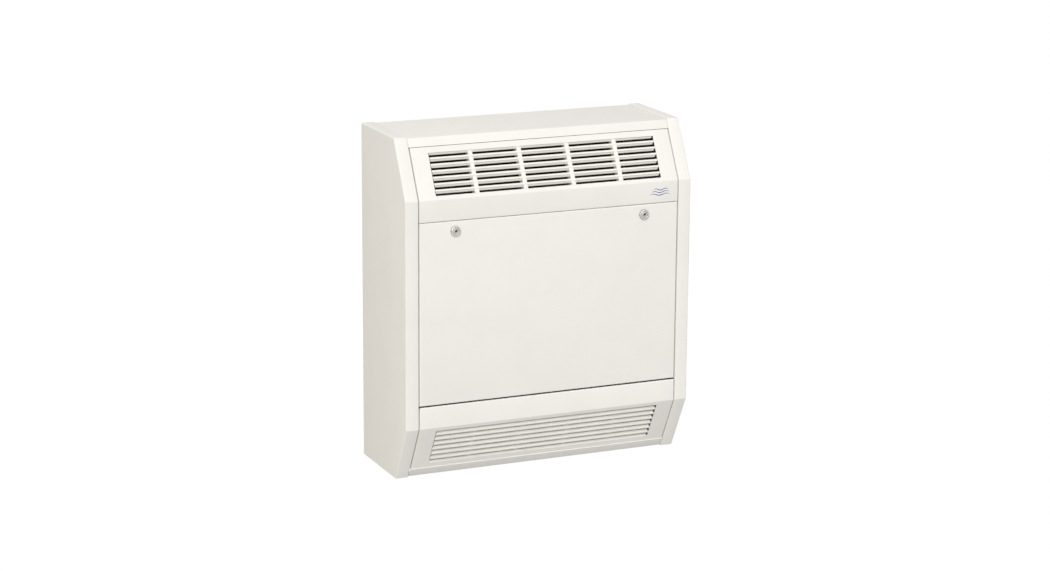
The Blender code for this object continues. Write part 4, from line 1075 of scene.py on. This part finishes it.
def air_filter():
    """A channel frame round pleated felt, held by a wire grid on each face."""
    low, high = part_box("filter_frame")
    inner_low, inner_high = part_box("filter_media")
    border = inner_low.x - low.x
    loop = [(low.x, low.z), (high.x, low.z), (high.x, high.z), (low.x, high.z)]
    shape = bmesh.new()
    bridge_rows(shape, rings_of(shape, loop, (
        (low.y, border), (low.y, 0), (high.y, 0), (high.y, border),
    )))
    place_piece("filter_channel", shape, "galvanised", "filter", ["filter_frame"], thickness=FILTER_SHEET)

    shape = bmesh.new()
    width = inner_high.x - inner_low.x
    steps = round(width / PLEAT) * PLEAT_STEPS
    depth = (inner_high.y - inner_low.y) / 2 - WIRE
    middle = (low.y + high.y) / 2
    line = [(inner_low.x + width * k / steps, middle + depth * math.cos(2 * math.pi * k / PLEAT_STEPS))
            for k in range(steps + 1)]
    rows = [row_of(shape, [(x, y, z) for x, y in line]) for z in (inner_low.z, inner_high.z)]
    bridge_rows(shape, rows, closed=False)
    place_piece("filter_pleats", shape, "filter_felt", "filter", ["filter_media"],
                thickness=FELT, bevel=0.0)

    shape = bmesh.new()
    for y in (inner_low.y + WIRE, inner_high.y - WIRE):
        for share in (0.25, 0.5, 0.75):
            z = inner_low.z + (inner_high.z - inner_low.z) * share
            tube(shape, [Vector((x, y, z)) for x in (inner_low.x, inner_high.x)], WIRE, 8)
        for k in range(1, CROSS_WIRES):
            x = inner_low.x + width * k / CROSS_WIRES
            tube(shape, [Vector((x, y, z)) for z in (inner_low.z, inner_high.z)], WIRE, 8)
    place_piece("filter_wires", shape, "galvanised", "filter", bevel=0.0)


# Controls
KNOB_FLUTES = 20
KNOB_STEPS = 160
FLUTE_DEPTH = 0.0006
SKIRT = 0.003
DIAL_SIZE = 0.0046
DIAL_GAP = 0.0038
DIAL_PITCH = 40
SCREW_INSET = 0.005
ROCKER_HALF = (0.0085, 0.0135)


def dial_number(number, place):
    """A printed number on the lid, facing the front."""
    name = f"speed_{number}"
    letters = bpy.data.curves.new(name, "FONT")
    letters.body = str(number)
    letters.size = DIAL_SIZE
    letters.extrude = INK
    letters.align_x = "CENTER"
    letters.align_y = "CENTER"
    letters.resolution_u = 3
    letters.materials.append(MATERIALS["casing_coat"])
    made = show(name, letters)
    made.matrix_world = Matrix.Translation(place) @ Matrix.Rotation(math.radians(90), 4, "X")
    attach(made, "casing")


def speed_knob():
    """A fluted knob with a pointer line, its skirt resting on the lid."""
    node = "speed_knob"
    low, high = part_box(node)
    lid_low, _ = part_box("control_box_lid")
    centre = (low + high) / 2
    radius = (high.x - low.x) / 2
    back, front = lid_low.y - 0.0003, low.y
    outline = ((back, 1.0), (back - 0.0025, 1.0), (back - 0.0032, 0.93), (front + 0.0012, 0.90),
               (front + 0.0003, 0.86), (front, 0.82))
    shape = bmesh.new()
    rows = []
    for y, grow in outline:
        loop = []
        for k in range(KNOB_STEPS):
            angle = 2 * math.pi * k / KNOB_STEPS
            dip = FLUTE_DEPTH * (0.5 + 0.5 * math.cos(KNOB_FLUTES * angle)) if y < back - SKIRT else 0.0
            reach = radius * grow - dip
            loop.append((centre.x + reach * math.cos(angle), y, centre.z + reach * math.sin(angle)))
        rows.append(row_of(shape, loop))
    bridge_rows(shape, rows)
    close_ends(shape, rows)
    stem, depth = 0.0035, high.y - back
    turned(shape, [(0.0, 0.0), (stem, 0.0), (stem, depth), (0.0, depth)],
           (centre.x, back, centre.z), Y_AXIS, 24)
    place_piece("speed_knob_body", shape, "black_plastic", node, [node], bevel=0.0)
    shape = bmesh.new()
    block(shape, (centre.x - 0.0006, front - 0.00012, centre.z + radius * 0.25),
          (centre.x + 0.0006, front + 0.001, centre.z + radius * 0.80))
    place_piece("speed_knob_pointer", shape, "casing_coat", node, bevel=0.0)
    reach = radius + DIAL_GAP
    for number in range(4):
        angle = math.radians(90 - DIAL_PITCH * number)
        x, z = centre.x + reach * math.cos(angle), centre.z + reach * math.sin(angle)
        dial_number(number, (x, lid_low.y - 0.00008, z))


def control_fittings():
    """Screws in the lid's corners, and the rocker switch's frame."""
    low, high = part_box("control_box_lid")
    shape = bmesh.new()
    for x in (low.x + SCREW_INSET, high.x - SCREW_INSET):
        for z in (low.z + SCREW_INSET, high.z - SCREW_INSET):
            screw(shape, (x, low.y, z), -Y_AXIS, 0.0026)
    place_piece("control_lid_screws", shape, "galvanised", "casing", bevel=0.0, smooth=40)
    centre = middle_of("power_rocker")
    loop = [(centre.x + x * ROCKER_HALF[0], centre.z + z * ROCKER_HALF[1])
            for x, z in ((-1, -1), (1, -1), (1, 1), (-1, 1))]
    section = ((0, 0), (0.0014, 0.0003), (0.0016, 0.0009), (0.0012, 0.0024), (0, 0.0026))
    shape = bmesh.new()
    bridge_rows(shape, rings_of(shape, loop, [(low.y - out, inset) for out, inset in section]))
    place_piece("rocker_frame", shape, "black_plastic", "casing", bevel=0.0)


def screw(shape, place, outward, radius):
    """A pan-head screw, standing on a surface."""
    turns = [math.pi / 2 * k / 4 for k in range(5)]
    dome = [(radius * math.cos(a), radius * 0.55 * math.sin(a)) for a in turns]
    turned(shape, [(radius, -0.0002), *dome[:-1], (0.0, dome[-1][1])], place, outward, 20)


SCREW_RADIUS = 0.0035
DECK_SCREW_INSET = 0.004
DECK_SCREW_STEP = 0.035
PLATE_SCREW_Y = (-0.060, 0.080)
PLATE_SCREW_TOP = 0.545
PLATE_SCREW_DROP = 0.012


def fasteners():
    """Screw heads on the fans' deck, and inside the chassis plates under the deck and above the coil."""
    shape = bmesh.new()
    deck_low, deck_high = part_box("fan_deck")
    for prefix in ("left", "right"):
        low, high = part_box(f"{prefix}_fan_scroll")
        middle = middle_of(f"{prefix}_fan_scroll").y
        for x in (low.x + DECK_SCREW_INSET, high.x - DECK_SCREW_INSET):
            for y in (middle + DECK_SCREW_STEP, middle):
                screw(shape, (x, y, deck_high.z), Z_AXIS, SCREW_RADIUS)
        plate_low, plate_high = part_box(f"{prefix}_chassis_plate")
        inward = 1 if plate_low.x < 0 else -1
        face = plate_high.x if inward > 0 else plate_low.x
        for z in (deck_low.z - PLATE_SCREW_DROP, PLATE_SCREW_TOP):
            for y in PLATE_SCREW_Y:
                screw(shape, (face, y, z), X_AXIS * inward, SCREW_RADIUS)
    place_piece("chassis_screws", shape, "galvanised", "casing", bevel=0.0, smooth=40)


def carried_over():
    """CAD nodes that are shown as they are, with soft edges and their own finish."""
    slots = {part["node"]: part["material_slot"] for part in frame["record"]["subparts"]}
    for name, node in NODES.items():
        if node.hide_render:
            continue
        slot = slots[name]
        node.data.materials.clear()
        node.data.materials.append(MATERIALS[slot])
        weld = node.modifiers.new("Weld", "WELD")
        weld.merge_threshold = 1e-5
        round_edges(node, EDGE_ROUND)


# Floor, light and camera
FLOOR_REACH = 60
FLOOR_SINK = 0.0005
FLOOR_GLOW = 0.96
FLOOR_GREY = 0.06
SKY_LIGHT = 0.61
FLOOR_LIGHT = 0.53
HORIZON = 0.15
LEFT_TINT = (1.0, 0.965, 0.885, 1)
SKY_TINT = (1.0, 0.99, 0.975, 1)
TINT_FROM, TINT_TO = -0.8, 0.2
WHITE = (1, 1, 1, 1)
KEY_LIGHT = 1.91
KEY_FROM = Vector((-0.249, -0.412, 0.340))
KEY_SOFTNESS = math.radians(35)
AZIMUTH, ELEVATION, ROLL = (math.radians(a) for a in (-23.847, 13.848, 0.406))
DISTANCE = 5.5794
TARGET = Vector((-0.00745, FRONT_Y + 0.11, 0.36352))
LENS = 93.29


def pale_floor():
    """A studio floor that glows white and reflects a little. Its own light stays off the object."""
    far = FLOOR_REACH
    mesh = bpy.data.meshes.new("floor")
    mesh.from_pydata([(-far, -far, 0), (far, -far, 0), (far, far, 0), (-far, far, 0)], [], [(0, 1, 2, 3)])
    floor = show("floor", mesh)
    floor.location.z = -FLOOR_SINK
    floor.visible_diffuse = False
    floor.visible_glossy = False
    floor.visible_shadow = False
    feed(*shader_of("floor"), {
        "Base Color": (FLOOR_GREY, FLOOR_GREY, FLOOR_GREY, 1),
        "Roughness": 1.0,
        "Specular IOR Level": 0.0,
        "Emission Color": WHITE,
        "Emission Strength": FLOOR_GLOW,
    })
    mesh.materials.append(MATERIALS["floor"])


def studio_world():
    """White to the camera. On the object it is brighter above the horizon than below it, and warmer on the
    left."""
    world = bpy.data.worlds.new("studio")
    world.use_nodes = True
    tree = world.node_tree
    place = node_of(tree, "TexCoord", {})
    split = node_of(tree, "SeparateXYZ", {"Vector": place.outputs["Generated"]})
    level = node_of(tree, "MapRange", {
        "From Min": -HORIZON, "From Max": HORIZON, "To Min": FLOOR_LIGHT, "To Max": SKY_LIGHT,
        "Value": split.outputs["Z"],
    })
    lean = node_of(tree, "MapRange", {
        "From Min": TINT_FROM, "From Max": TINT_TO, "Value": split.outputs["X"],
    })
    tint = node_of(tree, "Mix", {"Factor": lean.outputs["Result"]})
    tint.data_type = "RGBA"
    ends = [socket for socket in tint.inputs if socket.type == "RGBA"]
    ends[0].default_value = LEFT_TINT
    ends[1].default_value = SKY_TINT
    lit = tree.nodes["Background"]
    colour = next(socket for socket in tint.outputs if socket.type == "RGBA")
    feed(tree, lit, {"Color": colour, "Strength": level.outputs["Result"]})
    seen = node_of(tree, "Background", {"Color": WHITE})
    path = node_of(tree, "LightPath", {})
    mix = node_of(tree, "MixShader", {})
    for source, into in zip((path.outputs["Is Camera Ray"], lit.outputs[0], seen.outputs[0]), mix.inputs):
        tree.links.new(source, into)
    feed(tree, tree.nodes["World Output"], {"Surface": mix.outputs[0]})
    bpy.context.scene.world = world


def key_light():
    sun = bpy.data.lights.new("key", "SUN")
    sun.angle = KEY_SOFTNESS
    sun.energy = KEY_LIGHT
    show("key", sun).rotation_euler = KEY_FROM.to_track_quat("Z", "Y").to_euler()


def camera():
    level = math.cos(ELEVATION)
    back = Vector((math.sin(AZIMUTH) * level, -math.cos(AZIMUTH) * level, math.sin(ELEVATION)))
    right = (-back).cross(Z_AXIS).normalized()
    up = right.cross(-back)
    made = bpy.data.cameras.new("camera")
    made.lens = LENS
    made.sensor_width = 36
    made.sensor_fit = "HORIZONTAL"
    columns = (
        right * math.cos(ROLL) + up * math.sin(ROLL),
        up * math.cos(ROLL) - right * math.sin(ROLL),
        back,
        TARGET + back * DISTANCE,
    )
    shown = show("camera", made)
    shown.matrix_world = Matrix([[*(c[k] for c in columns)] for k in range(3)] + [[0, 0, 0, 1]])
    bpy.context.scene.camera = shown


casing()
door()
air_mark()
grille("outlet_grille", UPPER_SLOPE)
grille("inlet_grille", LOWER_SLOPE)
for prefix in ("left", "right"):
    lock(prefix)
    impeller(prefix)
    fan_scroll(prefix)
    bellmouth(prefix)
fan_motor()
coil()
valve("flow", "valve_red")
valve("return", "valve_blue")
air_filter()
speed_knob()
control_fittings()
fasteners()
carried_over()
pale_floor()
studio_world()
key_light()
camera()
bpy.context.scene.view_settings.view_transform = "Standard"
